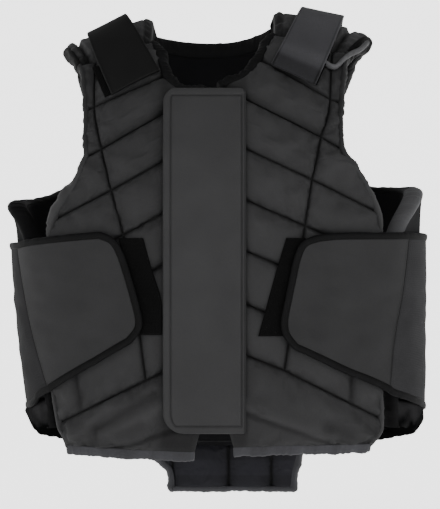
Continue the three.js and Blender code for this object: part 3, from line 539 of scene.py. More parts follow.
def cloth_finish(name, dark, light, thread=0.0009, roughness=0.75, sheen=0, relief=0.00012, gloss=0.08):
    """A woven cloth: crossing threads as bump, and a slow and a quick change of colour from dark to light.

    Its tone is near the middle of dark and light, and the shade attribute pulls it to black or past light.
    """
    finish = bpy.data.materials.new(name)
    finish.use_nodes = True
    tree = finish.node_tree
    shader = tree.nodes["Principled BSDF"]
    shader.inputs["Roughness"].default_value = roughness
    shader.inputs["Sheen Weight"].default_value = sheen
    shader.inputs["Sheen Roughness"].default_value = 0.5
    shader.inputs["Specular IOR Level"].default_value = gloss
    cloth_map = tree.nodes.new("ShaderNodeUVMap")
    cloth_map.uv_map = "cloth"
    place = tree.nodes.new("ShaderNodeTexCoord").outputs["Object"]
    weave = None
    for direction in ("X", "Y"):
        waves = linked(tree, "ShaderNodeTexWave", Vector=cloth_map.outputs["UV"], Scale=WAVE_REPEAT / thread)
        waves.inputs["Distortion"].default_value = 1.2
        waves.inputs["Detail"].default_value = 1
        waves.bands_direction = direction
        if weave is None:
            weave = waves.outputs["Fac"]
        else:
            both = tree.nodes.new("ShaderNodeMath")
            both.operation = "MULTIPLY"
            tree.links.new(weave, both.inputs[0])
            tree.links.new(waves.outputs["Fac"], both.inputs[1])
            weave = both.outputs[0]
    slow = linked(tree, "ShaderNodeTexNoise", Vector=place, Scale=PATCHES_PER_METRE, Detail=4, Roughness=0.6)
    quick = linked(tree, "ShaderNodeTexNoise", Vector=place, Scale=SPECKS_PER_METRE, Detail=2, Roughness=0.7)
    shading = tree.nodes.new("ShaderNodeAttribute")
    shading.attribute_name = "shade"
    tone = added(tree, quick.outputs["Fac"], 0.3, added(tree, slow.outputs["Fac"], 0.3, 0.22))
    tone = added(tree, shading.outputs["Fac"], -0.5, tone)
    ramp = linked(tree, "ShaderNodeValToRGB", Fac=tone)
    ramp.color_ramp.elements[0].position = 0.0
    ramp.color_ramp.elements[0].color = (*(0.1 * value for value in dark), 1)
    ramp.color_ramp.elements[1].position = 0.4
    ramp.color_ramp.elements[1].color = (*dark, 1)
    ramp.color_ramp.elements.new(0.64).color = (*light, 1)
    ramp.color_ramp.elements.new(1.0).color = (*(2 * value for value in light), 1)
    tree.links.new(ramp.outputs["Color"], shader.inputs["Base Color"])
    bump = linked(tree, "ShaderNodeBump", Height=weave, Strength=0.6, Distance=relief)
    tree.links.new(bump.outputs["Normal"], shader.inputs["Normal"])
    return finish


CHARCOAL, LIGHT_CHARCOAL = (0.0108, 0.0108, 0.0111), (0.016, 0.016, 0.0164)
charcoal_cloth = cloth_finish("charcoal cloth", CHARCOAL, LIGHT_CHARCOAL, roughness=0.78, sheen=0.02)
dark_lining = cloth_finish("dark lining", (0.0022, 0.0022, 0.0024), (0.0045, 0.0045, 0.005),
                           thread=0.0016, roughness=0.9, gloss=0.04)


def dress(piece, outer, lining=None, face=None):
    """Gives a piece its cloth, with a lining over the faces on its body side, and its place in the part."""
    piece.data.materials.append(outer)
    if lining is not None:
        piece.data.materials.append(lining)
        polygons = piece.data.polygons
        inner = [polygon for polygon in polygons if max(face[v] for v in polygon.vertices) < OUTSIDE_FROM]
        for polygon in inner:
            polygon.material_index = 1
    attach(piece, "root")


# Folds in the loose cloth below the last channel: where each starts and ends, its width and its height.
SKIRT_FOLDS = {
    -1: [
        ((-0.06, -0.366), (-0.124, -0.403), 0.0045, -0.003),
        ((-0.056, -0.379), (-0.116, -0.413), 0.006, 0.0025),
        ((-0.09, -0.372), (-0.13, -0.392), 0.005, 0.0022),
        ((-0.0325, -0.4), (-0.106, -0.4245), 0.0028, -0.0026),
        ((-0.075, -0.395), (-0.135, -0.42), 0.005, -0.0024),
        ((-0.125, -0.395), (-0.15, -0.412), 0.004, 0.002),
    ],
    1: [
        ((0.035, -0.386), (0.129, -0.418), 0.0028, -0.003),
        ((0.035, -0.379), (0.125, -0.411), 0.007, 0.002),
        ((0.12, -0.4), (0.165, -0.42), 0.006, -0.0022),
        ((0.15, -0.392), (0.172, -0.408), 0.004, -0.0024),
        ((0.09, -0.376), (0.15, -0.396), 0.006, 0.0014),
    ],
}
# How strongly the folds' heights are painted: as shade in the valleys and as highlight on the ridges.
FOLD_LIGHT_AND_SHADE = 110
SKIRT_DUSK = 0.15
HEM_DUSK = 0.35
HEM_DUSK_WIDTH = 0.0016
PANEL_SHADE = {-1: 0.14, 1: 0.04}
EDGE_WEAR = 0.12
EDGE_WEAR_WIDTH = 0.003
DEEP_ROW = 3
DEEP_ROW_WIDTH = 0.0065
DEEP_ROW_DROP = 0.002
DEEP_ROW_SHADOW = 0.3
SHORT_SEAMS = {-1: 1.71, 1: 1.68}
PLACKET_EDGE = {-1: 0.0515, 1: 0.034}
PLACKET_MARGIN = 0.004
# Painted shadow of the placket on each panel: how dark it is at the placket's edge, and how fast it fades.
PLACKET_SHADOW = {-1: (0.55, 0.006), 1: (0.45, 0.0025)}
FLAP_ON_PANEL_TOP = 0.45
FLAP_ON_PANEL_BOTTOM = 0.72
FLAP_ON_PANEL_SLOPE = 0.15
FLAP_ON_PANEL_REACH = 0.2


def front_panel(name, rows, side):
    plan = front_plan(rows, side)
    last = len(rows) - 1
    sewn = np.array([k for k, row in enumerate(rows) if row[6]])
    lowest = sewn[-1]

    def surface(u, v):
        x, z = plan(u, v)
        return out_of_form(turn_at(x, z), z, 0)

    def distances(u, v):
        step_u, step_v = cloth_steps(surface, u, v)
        to_row = np.abs(v[..., None] - sewn).min(axis=-1) * step_v
        to_seam = np.hypot(np.abs(u - 1) * step_u, np.maximum(v - lowest, 0) * step_v)
        past_short = np.maximum(np.abs(v - lowest + 0.5) - 0.5, 0) * step_v
        to_short = np.hypot(np.abs(u - SHORT_SEAMS[side]) * step_u, past_short)
        rim = np.minimum(np.minimum(u, 2 - u) * step_u, np.minimum(v, last - v) * step_v)
        return np.minimum(np.minimum(to_row, to_seam), to_short), rim

    # Under the overhang above the deep row the cloth sinks a little and is painted darker there, a painted
    # shadow of the pad above.
    def overhung(u, v):
        above = np.maximum(DEEP_ROW - v, 0) * cloth_steps(surface, u, v)[1]
        return np.where(v <= DEEP_ROW, bell(above, DEEP_ROW_WIDTH), 0) * (u < 1)

    # The cloth rises and sinks along the folds, and the valleys are painted darker and the ridges lighter, as
    # painted shade and painted highlight.
    def folds(x, z):
        return sum(near_line(x, z, start, end, width) * height
                   for start, end, width, height in SKIRT_FOLDS[side])

    def place(u, v, face):
        x, z = plan(u, v)
        seam, rim = distances(u, v)
        outer = foam_surface(seam, rim, CHANNEL_DEPTH) + folds(x, z) - DEEP_ROW_DROP * overhung(u, v)
        inner = rounding(rim) - PANEL_THICKNESS
        return out_of_form(turn_at(x, z), z, lerp(inner, outer, face))

    us = close_lines(2, 30, 0.75)
    vs = close_lines(last, 18, 0.75)
    panel, u, v, face = padded_block(name + "_cloth", us, vs, place)
    seam, rim = distances(u, v)
    x, z = plan(u, v)
    down = -z / FRONT_LENGTH
    under_placket = np.abs(x) < PLACKET_EDGE[side] + PLACKET_MARGIN
    reach = np.abs(x) / HALF_WIDTH
    under_flap = (down > FLAP_ON_PANEL_TOP) & (down < FLAP_ON_PANEL_BOTTOM + FLAP_ON_PANEL_SLOPE * reach)
    under_flap = under_flap & (reach > FLAP_ON_PANEL_REACH)
    free = (face > 0.9) & (seam > SEAM_HELD) & (rim > RIM_HELD) & ~under_placket & ~under_flap
    puff(panel, ~free, pressure=5, spare_cloth=0.05, cap=PUFF_CAP)
    # A painted shadow of the raised placket on the panel beside it, broad on the right panel and narrow on
    # the left.
    amount, width = PLACKET_SHADOW[side]
    placket_shadow = amount * np.exp(-np.maximum(np.abs(x) - PLACKET_EDGE[side], 0) / width)
    shading = seam_shade(seam) + placket_shadow - FOLD_LIGHT_AND_SHADE * folds(x, z) + DEEP_ROW_SHADOW * overhung(u, v)
    shading = shading + PANEL_SHADE[side] * (1 - np.clip((v - lowest) / 0.5, 0, 1))
    skirt = np.clip((v - lowest) / 0.3, 0, 1)
    above_hem = (last - v) * cloth_steps(surface, u, v)[1]
    shading = shading + skirt * (SKIRT_DUSK + HEM_DUSK * bell(above_hem, HEM_DUSK_WIDTH))
    shading = shading - EDGE_WEAR * np.exp(-rim / EDGE_WEAR_WIDTH)
    shade(panel.data, np.where(face > OUTSIDE_FROM, shading, 0))
    dress(panel, charcoal_cloth, dark_lining, face)
    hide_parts(name)


front_panel("front_panel_right", RIGHT_FRONT_ROWS, -1)
front_panel("front_panel_left", LEFT_FRONT_ROWS, 1)

# The back panel and the side wings sewn to its edges, of the same foam. The wings' cloth is duller, with no
# gloss. They wrap the sides under the waist flaps, and the right one's upper corner stands away.
RIGHT_BACK_ROWS = [
    (-0.03, -0.04, 124, 0.05, 0, 0),
    (0.07, 0.106, 138.8, 0.142, 0, 1),
    (0.195, 0.257, 138.2, 0.281, 0, 1),
    (0.26, 0.315, 128.7, 0.344, 0, 0),
    (0.29, 0.343, 113, 0.371, 0.15, 0),
    (0.322, 0.39, 84, 0.387, 0.55, 1),
    (0.385, 0.45, 74, 0.44, 0.05, 0),
    (0.452, 0.527, 67, 0.5, 0, 1),
    (0.582, 0.658, 64, 0.62, 0, 1),
    (0.713, 0.789, 63, 0.745, 0, 1),
    (0.844, 0.906, 62, 0.855, 0, 1),
    (0.99, 0.985, 63, 0.928, 0, 0),
]
LEFT_BACK_ROWS = [
    (-0.03, -0.055, 126, 0.02, 0, 0),
    (0.07, 0.106, 141.6, 0.133, 0, 1),
    (0.195, 0.257, 141, 0.262, 0, 1),
    (0.26, 0.315, 131.8, 0.334, 0, 0),
    (0.29, 0.343, 116, 0.344, 0.05, 0),
    (0.322, 0.39, 87, 0.352, 0.25, 1),
    (0.385, 0.45, 66, 0.42, 0.05, 0),
    (0.452, 0.527, 58, 0.5, 0, 1),
    (0.582, 0.658, 58, 0.62, 0, 1),
    (0.713, 0.789, 58, 0.745, 0, 1),
    (0.844, 0.906, 58, 0.855, 0, 1),
    (0.99, 0.985, 60, 0.926, 0, 0),
]
BACK_SEAM_TURN = 149
HALF_SEAM_GAP_TURN = 0.15
WING_SWELL = 0.0085
ARMHOLE_FLARE = 0.006
WEAR = 0.5
NECK_HEIGHT = 0.03
NECK_BOW = 2.2
PAD_INNER_REACH = 0.066
PAD_BACK_NECK_DROP = 0.013
PAD_BACK_ARM_DROP = 0.025
PAD_BACK_SHARE = {-1: 0.695, 1: 0.722}

# Spots on the back and wings: the place along and its reach, then how far down and its reach. Along is u for
# the corner and the turn from the centre back for the others.
FLARED_CORNER = (2, 0.35, 0.17, 0.11)
LOOSE_SPOT = (90, 24, 0.885, 0.045)
WORN_SPOT = (109, 9, 0.875, 0.018)
# The wings' lower corners are painted darker, a painted shade. It starts at this turn from the centre back
# and comes in over this many degrees.
CORNER_SHADE_FROM, CORNER_SHADE_OVER = 76, 10
BACK_SEWN = np.array([k for k, row in enumerate(RIGHT_BACK_ROWS) if row[5]])
BACK_LAST = len(RIGHT_BACK_ROWS) - 1


def pad_back_drop(x):
    share = (np.abs(x) - PAD_INNER_REACH) / (HALF_WIDTH * PAD_BACK_SHARE[-1] - PAD_INNER_REACH)
    return lerp(PAD_BACK_NECK_DROP, PAD_BACK_ARM_DROP, np.clip(share, 0, 1))


def back_top(side, reach):
    """Turn and height of the back's top edge: the neck's curve as far as the pad, then the pad's edge."""
    corner = ridge_at(side * PAD_INNER_REACH) - PAD_BACK_NECK_DROP - FIT
    on_neck = np.minimum(reach, 1)
    past_neck = np.clip(reach - 1, 0, 1)
    x = side * np.where(reach <= 1, PAD_INNER_REACH * on_neck,
                        lerp(PAD_INNER_REACH, PAD_BACK_SHARE[side] * HALF_WIDTH, past_neck))
    neck = lerp(NECK_HEIGHT * FRONT_LENGTH, corner, on_neck ** NECK_BOW)
    z = np.where(reach <= 1, neck, ridge_at(x) - pad_back_drop(x) - FIT)
    return np.abs(turn_at(x + side * 1e-9, z, True)), z


def back_half(side, reach, v):
    """Turn, height and flare on one half of the back at reach, 0 on the spine, 1 on the seam, 2 outside."""
    rows = RIGHT_BACK_ROWS if side < 0 else LEFT_BACK_ROWS
    t = v / BACK_LAST
    line = smooth_line([(row[0], row[1], row[2], row[3], row[4]) for row in rows])(t)
    centre_z, seam_z = -line[..., 0] * FRONT_LENGTH, -line[..., 1] * FRONT_LENGTH
    outer_turn, outer_z = line[..., 2], -line[..., 3] * FRONT_LENGTH
    share = np.maximum(0, reach - 1)
    turn = np.where(reach < 1, lerp(180, BACK_SEAM_TURN, reach), lerp(BACK_SEAM_TURN, outer_turn, share))
    z = np.where(reach < 1, lerp(centre_z, seam_z, reach), lerp(seam_z, outer_z, share))
    top_turn, top_z = back_top(side, reach)
    turn = np.where(v < 1, lerp(top_turn, turn, v), turn)
    z = np.where(v < 1, lerp(top_z, z, v), z)
    flare = np.maximum(0, line[..., 4]) * PANEL_THICKNESS * share ** 3
    return turn, z, flare


def back_plan(u, v):
    """Turn from 0 to 360, height and flare of the whole back, for u from -2 over the spine to 2."""
    right = back_half(-1, np.abs(u), v)
    left = back_half(1, np.abs(u), v)
    turn = np.where(u < 0, 360 - right[0], left[0])
    return turn, np.where(u < 0, right[1], left[1]), np.where(u < 0, right[2], left[2])


wing_cloth = cloth_finish("wing cloth", CHARCOAL, LIGHT_CHARCOAL, roughness=0.9, gloss=0)


def spot(along, down, place):
    centre, reach, centre_down, reach_down = place
    return bell(along - centre, reach) * bell(down - centre_down, reach_down)


def back_piece(name, us, seam_shift, finish):
    def surface(u, v):
        turn, z, flare = back_plan(u, v)
        return out_of_form(turn, z, flare)

    def distances(u, v):
        step_u, step_v = cloth_steps(surface, u, v)
        to_row = np.abs(v[..., None] - BACK_SEWN).min(axis=-1) * step_v
        to_seam = np.minimum(np.abs(u), np.abs(np.abs(u) - 1)) * step_u
        rim = np.minimum((2 - np.abs(u)) * step_u, np.minimum(v, BACK_LAST - v) * step_v)
        return np.minimum(to_row, to_seam), rim

    def place(u, v, face):
        turn, z, flare = back_plan(u, v)
        seam, rim = distances(u, v)
        outer = foam_surface(seam, rim, CHANNEL_DEPTH)
        inner = rounding(rim) - PANEL_THICKNESS
        beside = np.abs(np.abs(u) - 1) < 1e-6
        away = np.where(turn > 180, -1, 1) * seam_shift
        turn = turn + np.where(beside, away, 0)
        down = -z / FRONT_LENGTH
        corner = spot(np.abs(u), down, FLARED_CORNER)
        flare = flare + np.where(u > 0, ARMHOLE_FLARE, 0) * corner
        loose = spot(np.abs(180 - turn), down, LOOSE_SPOT)
        point = out_of_form(turn, z, flare + WING_SWELL * loose + lerp(inner, outer, face))
        crumple = uneven(point, size=0.012, height=0.004, seed=3.0) * loose
        return point + chest_form(turn, z)[1] * crumple[..., None]

    vs = close_lines(BACK_LAST, 12, 0.7)
    piece, u, v, face = padded_block(name + "_cloth", us, vs, place)
    seam, rim = distances(u, v)
    turn, z, flare = back_plan(u, v)
    from_back = np.abs(180 - turn)
    down = -z / FRONT_LENGTH
    worn = spot(from_back, down, WORN_SPOT)
    # Painted shade on the wings' lower corners, with uneven tone over it and over the worn spot.
    corner_shade = 0.55 * bell(down - 0.89, 0.045) + 0.9 * bell(down - 0.935, 0.022)
    corner_shade = corner_shade * np.clip((from_back - CORNER_SHADE_FROM) / CORNER_SHADE_OVER, 0, 1)
    patchy = uneven(mesh_points(piece.data), size=0.01, height=0.7, seed=9.0) * np.maximum(worn, corner_shade)
    shading = seam_shade(seam) - WEAR * worn + corner_shade + patchy
    shade(piece.data, np.where(face > OUTSIDE_FROM, shading, 0))
    dress(piece, finish, dark_lining, face)
    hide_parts(name)


back_lines = close_lines(2, 20, 0.7)
back_piece("back_panel", back_lines - 1, HALF_SEAM_GAP_TURN, charcoal_cloth)
wing_lines = close_lines(1, 50, 0.5) + 1
back_piece("side_wing_right", -wing_lines[::-1], -HALF_SEAM_GAP_TURN, wing_cloth)
back_piece("side_wing_left", wing_lines, -HALF_SEAM_GAP_TURN, wing_cloth)

# The shoulder pads, slimmer foam bent over the shoulders between the front and back panels, in the same
# cloth. Their outer ends stand out past the armholes.
SHOULDERS = {
    "right": {"side": -1, "front": 0.665, "tip": 0.745, "back": 0.695, "fold": 0.84, "tip_shade": 0.45},
    "left": {"side": 1, "front": 0.673, "tip": 0.787, "back": 0.722, "fold": 0.79, "tip_shade": -0.25},
}
TIP_ROUNDNESS = 1.5
PAD_WIDTH = 0.09
PAD_LENGTH = 0.08
PAD_HELD = 0.03
PAD_TAPE_END = 0.1
PAD_TAPE_DIP = 0.0012
PAD_TAPE_DIP_WIDTH = 0.012
PAD_FOLD_DEPTH = 0.006
PAD_FOLD_WIDTH = 0.03
PAD_SETTLING = 0.0015


def from_edge(share):
    return np.minimum(share, 1 - share)


def over_shoulder(x, along, front_drop, back_drop, out):
    """A point over the shoulder at x: along is -1 at the front edge, 0 on the ridge and 1 at the back."""
    back = along > 0
    z = ridge_at(x) - np.where(back, back_drop, front_drop) * along ** 2
    return out_of_form(turn_at(x, z, back), z, out)


def pad_reach(shoulder, along):
    end = np.where(along < 0, shoulder["front"], shoulder["back"])
    return HALF_WIDTH * lerp(shoulder["tip"], end, np.abs(along) ** TIP_ROUNDNESS)


for name, shoulder in SHOULDERS.items():
    def pad_place(u, v, face):
        along = 2 * v - 1
        x = shoulder["side"] * lerp(PAD_INNER_REACH, pad_reach(shoulder, along), u)
        rim = np.minimum(from_edge(u) * PAD_WIDTH, from_edge(v) * PAD_LENGTH)
        outer = foam_surface(rim + 0.01, rim, 0) - PAD_FOLD_DEPTH * bell(u - shoulder["fold"], PAD_FOLD_WIDTH)
        outer = outer - PAD_TAPE_DIP * bell(u - PAD_TAPE_END, PAD_TAPE_DIP_WIDTH)
        inner = rounding(rim) - PANEL_THICKNESS
        point = over_shoulder(x, along, PAD_FRONT_DROP, pad_back_drop(x), lerp(inner, outer, face))
        loose = np.maximum(np.exp(-u / 0.15), np.exp(-np.maximum(shoulder["fold"] - u, 0) / 0.1))
        lift = uneven(point, size=0.01, height=0.003, seed=7.0) * loose * face - PAD_SETTLING * face
        return point + np.array([0, 0, 1]) * lift[..., None]

    across = close_lines(1, 70, 0.2)
    pad, u, v, face = padded_block("shoulder_pad_cloth_" + name, across, close_lines(1, 50, 0.3), pad_place)
    held = (face < 0.9) | (np.minimum(from_edge(u), from_edge(v)) < PAD_HELD)
    puff(pad, held, pressure=4, spare_cloth=0.03, cap=PUFF_CAP)
    taped = 0.85 * np.clip((PAD_TAPE_END - u) / 0.02, 0, 1)
    # The fold's crease is painted darker, a painted shadow in it.
    fold_shade = bell(u - shoulder["fold"], 0.025)
    front_edge = 0.75 * np.clip((0.12 - v) / 0.03, 0, 1)
    tip = shoulder["tip_shade"] * np.clip((u - shoulder["fold"]) / 0.04, 0, 1)
    lit = 0.35 * bell(u - shoulder["fold"] + 0.1, 0.05)
    shade(pad.data, np.maximum(np.maximum(taped, fold_shade), front_edge) + tip - lit)
    dress(pad, charcoal_cloth, dark_lining, face)
    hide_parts("shoulder_pad_" + name)

# The shoulder straps, wide soft webbing sewn to the back panel. Each arches over its pad and closes on a
# patch of hooks on the front panel, which shows beside its end. The right one is black, the left one grey.
STRAP_WIDTH = 0.050
STRAP_THICKNESS = 0.003
STRAP_ARCH = 0.008
STRAP_FRONT_DROP = 0.068
STRAP_END_SLANT = 0.009
STRAP_BACK_DROP = 0.072
LAYER_GAP = 0.0008
HOOK_PATCH_THICKNESS = 0.002
FLAT_END = 0.05
STRAP_EDGE_THINNING = 0.35
STRAP_EDGE_WIDTH = 0.0015
SELVEDGE_INSET = 0.0022
SELVEDGE_WIDTH = 0.0007
STRAPS = {
    "right": {"side": -1, "front": 0.37, "ridge": 0.517, "back": 0.542, "end_half": 0.495, "half": 0.44,
              "patch_overhang": 0.14, "neck_arch": 1, "arm_arch": 0.2},
    "left": {"side": 1, "front": 0.386, "ridge": 0.532, "back": 0.556, "end_half": 0.46, "half": 0.46,
             "patch_overhang": 0.02, "neck_arch": 0.75, "arm_arch": 1},
}
STRAP_PATCH_TOP_DROP = 0.038
STRAP_PATCH_MARGIN = 0.002
STRAP_PATCH_INNER = 0.1


def strap_out(strap, u, v):
    slide = np.clip((v - 0.5) / 0.5, 0, 1)
    base = lerp(LAYER_GAP * 2 + HOOK_PATCH_THICKNESS, LAYER_GAP, slide * slide * (3 - 2 * slide))
    share = np.clip((v - FLAT_END) / (1 - 2 * FLAT_END), 0, 1)
    arch = STRAP_ARCH * lerp(strap["neck_arch"], strap["arm_arch"], u)
    return base + arch * np.sin(np.pi * share) ** 2


def strap_x(strap, u, v):
    along = 2 * v - 1
    end = np.where(along < 0, strap["front"], strap["back"])
    centre = lerp(strap["ridge"], end, along ** 2)
    half = np.where(along < 0, lerp(strap["half"], strap["end_half"], -along), strap["half"])
    return strap["side"] * (centre * HALF_WIDTH + (2 * u - 1) * half * STRAP_WIDTH)


black_webbing = cloth_finish("black webbing", (0.0012, 0.0012, 0.0012), (0.0026, 0.0026, 0.0026),
                             thread=0.0012)
grey_webbing = cloth_finish("grey webbing", (0.014, 0.014, 0.0155), (0.022, 0.022, 0.024),
                            thread=0.0012, sheen=0.02)
hook_pile = cloth_finish("hook pile", (0.001, 0.001, 0.001), (0.002, 0.002, 0.002),
                         thread=0.0015, roughness=0.9, relief=0.0008, gloss=0.03)

for name, strap in STRAPS.items():
    def strap_place(u, v, face):
        thin = STRAP_EDGE_THINNING * np.clip(1 - from_edge(u) * STRAP_WIDTH / STRAP_EDGE_WIDTH, 0, 1) ** 2
        share = lerp(thin, 1 - thin, face)
        out = strap_out(strap, u, v) + share * STRAP_THICKNESS
        front_drop = STRAP_FRONT_DROP + STRAP_END_SLANT * u
        return over_shoulder(strap_x(strap, u, v), 2 * v - 1, front_drop, STRAP_BACK_DROP, out)

    across = close_lines(1, 48, 0.6)
    lengthwise = close_lines(1, 150, 0.4)
    webbing, u, v, face = padded_block("strap_webbing_" + name, across, lengthwise, strap_place, rim_cuts=1)
    selvedge = 0.6 * bell(from_edge(u) * STRAP_WIDTH - SELVEDGE_INSET, SELVEDGE_WIDTH)
    rows_of_stitches = 0.8 * bell(v - 0.972, 0.004)
    band = -0.25 * bell(v - 0.097, 0.028) + 0.6 * np.clip((0.065 - v) / 0.02, 0, 1)
    # From partway up the front, over the shoulder and down the back, the grey strap is painted lighter. This
    # is a painted highlight where the front light falls on it.
    band = band - 0.2 * np.clip((v - 0.2) / 0.1, 0, 1)
    shade(webbing.data, selvedge + rows_of_stitches + (band if strap["side"] > 0 else 0))
    dress(webbing, black_webbing if strap["side"] < 0 else grey_webbing)
    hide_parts("shoulder_strap_" + name)

    def strap_patch_place(u, v, face):
        end_drop = STRAP_FRONT_DROP + STRAP_END_SLANT * u
        drop = lerp(STRAP_PATCH_TOP_DROP, end_drop - STRAP_PATCH_MARGIN, v)
        strap_v = 0.5 * (1 - np.sqrt(drop / end_drop))
        inner = np.abs(strap_x(strap, STRAP_PATCH_INNER, strap_v))
        outer = np.abs(strap_x(strap, 1, strap_v)) + strap["patch_overhang"] * STRAP_WIDTH
        x = strap["side"] * lerp(inner, outer, u)
        z = ridge_at(x) - drop
        return out_of_form(turn_at(x, z), z, LAYER_GAP + face * HOOK_PATCH_THICKNESS)

    patch_lines = close_lines(1, 24, 0.5)
    patch = padded_block("strap_hooks_" + name, patch_lines, patch_lines, strap_patch_place, rim_cuts=1)[0]
    dress(patch, hook_pile)
    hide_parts("shoulder_hook_patch_" + name)

# The zip down the middle, which the placket hides, and the placket: a wide padded storm flap with round
# corners, folded and stitched 8 mm inside its edge on three sides and twice down the side that is sewn on.
ZIP_TAPE_THICKNESS = 0.002
ZIP_DEPTH = 0.005
ZIP_TOP = 0.125
ZIP_BOTTOM = 0.885
PLACKET_RIGHT_REACH = 0.0515
PLACKET_LEFT_REACH = 0.034
PLACKET_TOP = 0.113
PLACKET_BOTTOM = 0.932
PLACKET_TOP_RADIUS = 0.014
PLACKET_BOTTOM_RADIUS = 0.022
PLACKET_THICKNESS = 0.004
PLACKET_STITCH_INSET = 0.008
PLACKET_SEWN_SHIFT = 0.0035
PLACKET_SEWN_INSET = 0.0012
PLACKET_SMALL_RADIUS = 0.005
PLACKET_ROUNDING = 0.0015
PLACKET_ROUND_WIDTH = 0.002
GROOVE_DEPTH = 0.0011
GROOVE_WIDTH = 0.0012
THREAD_SHADE_WIDTH = 0.0009


def zip_place(u, v, face):
    x = lerp(-ZIP_HALF_WIDTH, ZIP_HALF_WIDTH, u)
    z = -lerp(ZIP_TOP, ZIP_BOTTOM, v) * FRONT_LENGTH
    return out_of_form(turn_at(x, z), z, -ZIP_DEPTH + face * ZIP_TAPE_THICKNESS)


zip_tape = padded_block("zip_tape", close_lines(1, 8, 0), close_lines(1, 80, 0), zip_place, rim_cuts=1)[0]
dress(zip_tape, black_webbing)
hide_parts("front_zip")


def corner_inset(radius, distance):
    near = np.clip(distance, 0, radius)
    return radius - np.sqrt(np.maximum(radius ** 2 - (radius - near) ** 2, 0))


def placket_plan(u, v):
    """x and height on the placket, with the distances to its rim and to the nearest row of stitches."""
    top, bottom = -PLACKET_TOP * FRONT_LENGTH, -PLACKET_BOTTOM * FRONT_LENGTH
    z = lerp(top, bottom, v)
    inset = corner_inset(PLACKET_TOP_RADIUS, top - z) + corner_inset(PLACKET_BOTTOM_RADIUS, z - bottom)
    left_edge = PLACKET_LEFT_REACH - corner_inset(PLACKET_SMALL_RADIUS, top - z)
    x = lerp(-PLACKET_RIGHT_REACH + inset, left_edge, u)
    from_left = left_edge - x
    free_rim = np.minimum(x + PLACKET_RIGHT_REACH - inset, np.minimum(top - z, z - bottom))
    rim = np.minimum(from_left, free_rim)
    inner_row = np.abs(np.minimum(free_rim, from_left + PLACKET_SEWN_SHIFT) - PLACKET_STITCH_INSET)
    stitched = np.minimum(inner_row, np.abs(from_left - PLACKET_SEWN_INSET))
    return x, z, rim, stitched


def placket_place(u, v, face):
    x, z, rim, stitched = placket_plan(u, v)
    round_edge = PLACKET_ROUNDING * np.clip(1 - rim / PLACKET_ROUND_WIDTH, 0, 1) ** 2
    groove = GROOVE_DEPTH * bell(stitched, GROOVE_WIDTH)
    out = LAYER_GAP + face * PLACKET_THICKNESS - np.where(face > 0.5, round_edge + groove, 0)
    return out_of_form(turn_at(x, z), z, out)


across = close_lines(1, 130, 0.5)
lengthwise = close_lines(1, 260, 0.6)
placket, u, v, face = padded_block("placket_flap", across, lengthwise, placket_place, rim_cuts=1)
rim, stitched = placket_plan(u, v)[2:]
# Darker stitch rows and a thin darker line along the rim. The whole placket is also painted a little lighter,
# a painted light on the raised flap.
shade(placket.data, 0.55 * bell(stitched, THREAD_SHADE_WIDTH) + 0.3 * np.exp(-rim / 0.0008) - 0.06)
dress(placket, charcoal_cloth, dark_lining, face)
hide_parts("centre_placket")

# The hook patches under the waist flaps' ends: stiff black strips sewn on at a slant beside the placket.
WAIST_PATCHES = {
    "right": [(0.333, 0.45, 0.468), (0.293, 0.42, 0.54), (0.247, 0.39, 0.615), (0.243, 0.372, 0.697)],
    "left": [(0.349, 0.44, 0.468), (0.305, 0.405, 0.54), (0.262, 0.375, 0.617), (0.216, 0.35, 0.7)],
}

for name, rows in WAIST_PATCHES.items():
    side = -1 if name == "right" else 1
    placket_edge = (PLACKET_RIGHT_REACH if side < 0 else PLACKET_LEFT_REACH) + FIT
    slant = smooth_line(np.array(rows) * [HALF_WIDTH, HALF_WIDTH, -FRONT_LENGTH])

    def waist_patch_place(u, v, face):
        near, far, z = np.moveaxis(slant(v), -1, 0)
        x = side * lerp(np.maximum(near, placket_edge), far, u)
        return out_of_form(turn_at(x, z), z, LAYER_GAP + face * HOOK_PATCH_THICKNESS)

    across = close_lines(1, 16, 0)
    lengthwise = close_lines(1, 60, 0)
    patch = padded_block("waist_hooks_" + name, across, lengthwise, waist_patch_place, rim_cuts=1)[0]
    dress(patch, hook_pile)
    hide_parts("waist_hook_patch_" + name)

# The waist flaps. A double layer of the charcoal cloth closes over the hook patch, a stretch part of ribbed
# elastic runs on from its seam round the side to the back, and a black binding is stitched round the edge.
WAIST_FLAPS = {
    "right": {
        "side": -1,
        "top": [(29.1, 0.468), (44.7, 0.476), (60, 0.484), (71, 0.491)],
        "end": [(29.1, 0.468), (25.5, 0.48), (23.3, 0.508), (21.4, 0.555),
                (19.6, 0.61), (18.4, 0.657), (18.8, 0.681), (21.3, 0.705)],
        "bottom": [(21.3, 0.705), (32.8, 0.751), (45, 0.79), (56.4, 0.822)],
        "seam": [(71, 0.491), (67, 0.59), (62.8, 0.691), (56.4, 0.822)],
        "stretch_top": [(71, 0.491), (90, 0.493), (106, 0.493), (122, 0.493)],
        "stretch_bottom": [(56.4, 0.822), (64.6, 0.838), (76, 0.864), (122, 0.88)],
    },
    "left": {
        "side": 1,
        "top": [(24.7, 0.475), (31.7, 0.47), (46, 0.469), (62, 0.468)],
        "end": [(24.7, 0.475), (21.2, 0.487), (19.5, 0.515), (18.4, 0.555),
                (17, 0.615), (16, 0.662), (16.5, 0.693), (18.7, 0.719)],
        "bottom": [(18.7, 0.719), (33.4, 0.773), (43.8, 0.801), (51.7, 0.822)],
        "seam": [(62, 0.468), (58.1, 0.593), (53.5, 0.713), (51.7, 0.822)],
        "stretch_top": [(62, 0.468), (85, 0.471), (104, 0.475), (122, 0.475)],
        "stretch_bottom": [(51.7, 0.822), (57, 0.836), (85, 0.871), (122, 0.89)],
    },
}
FLAP_OUT = LAYER_GAP * 2 + HOOK_PATCH_THICKNESS
FLAP_THICKNESS = 0.004
FLAP_RIPPLE = 0.001
FLAP_FLAT_RIM = 0.15
SEAM_SHADE_REACH = 0.012
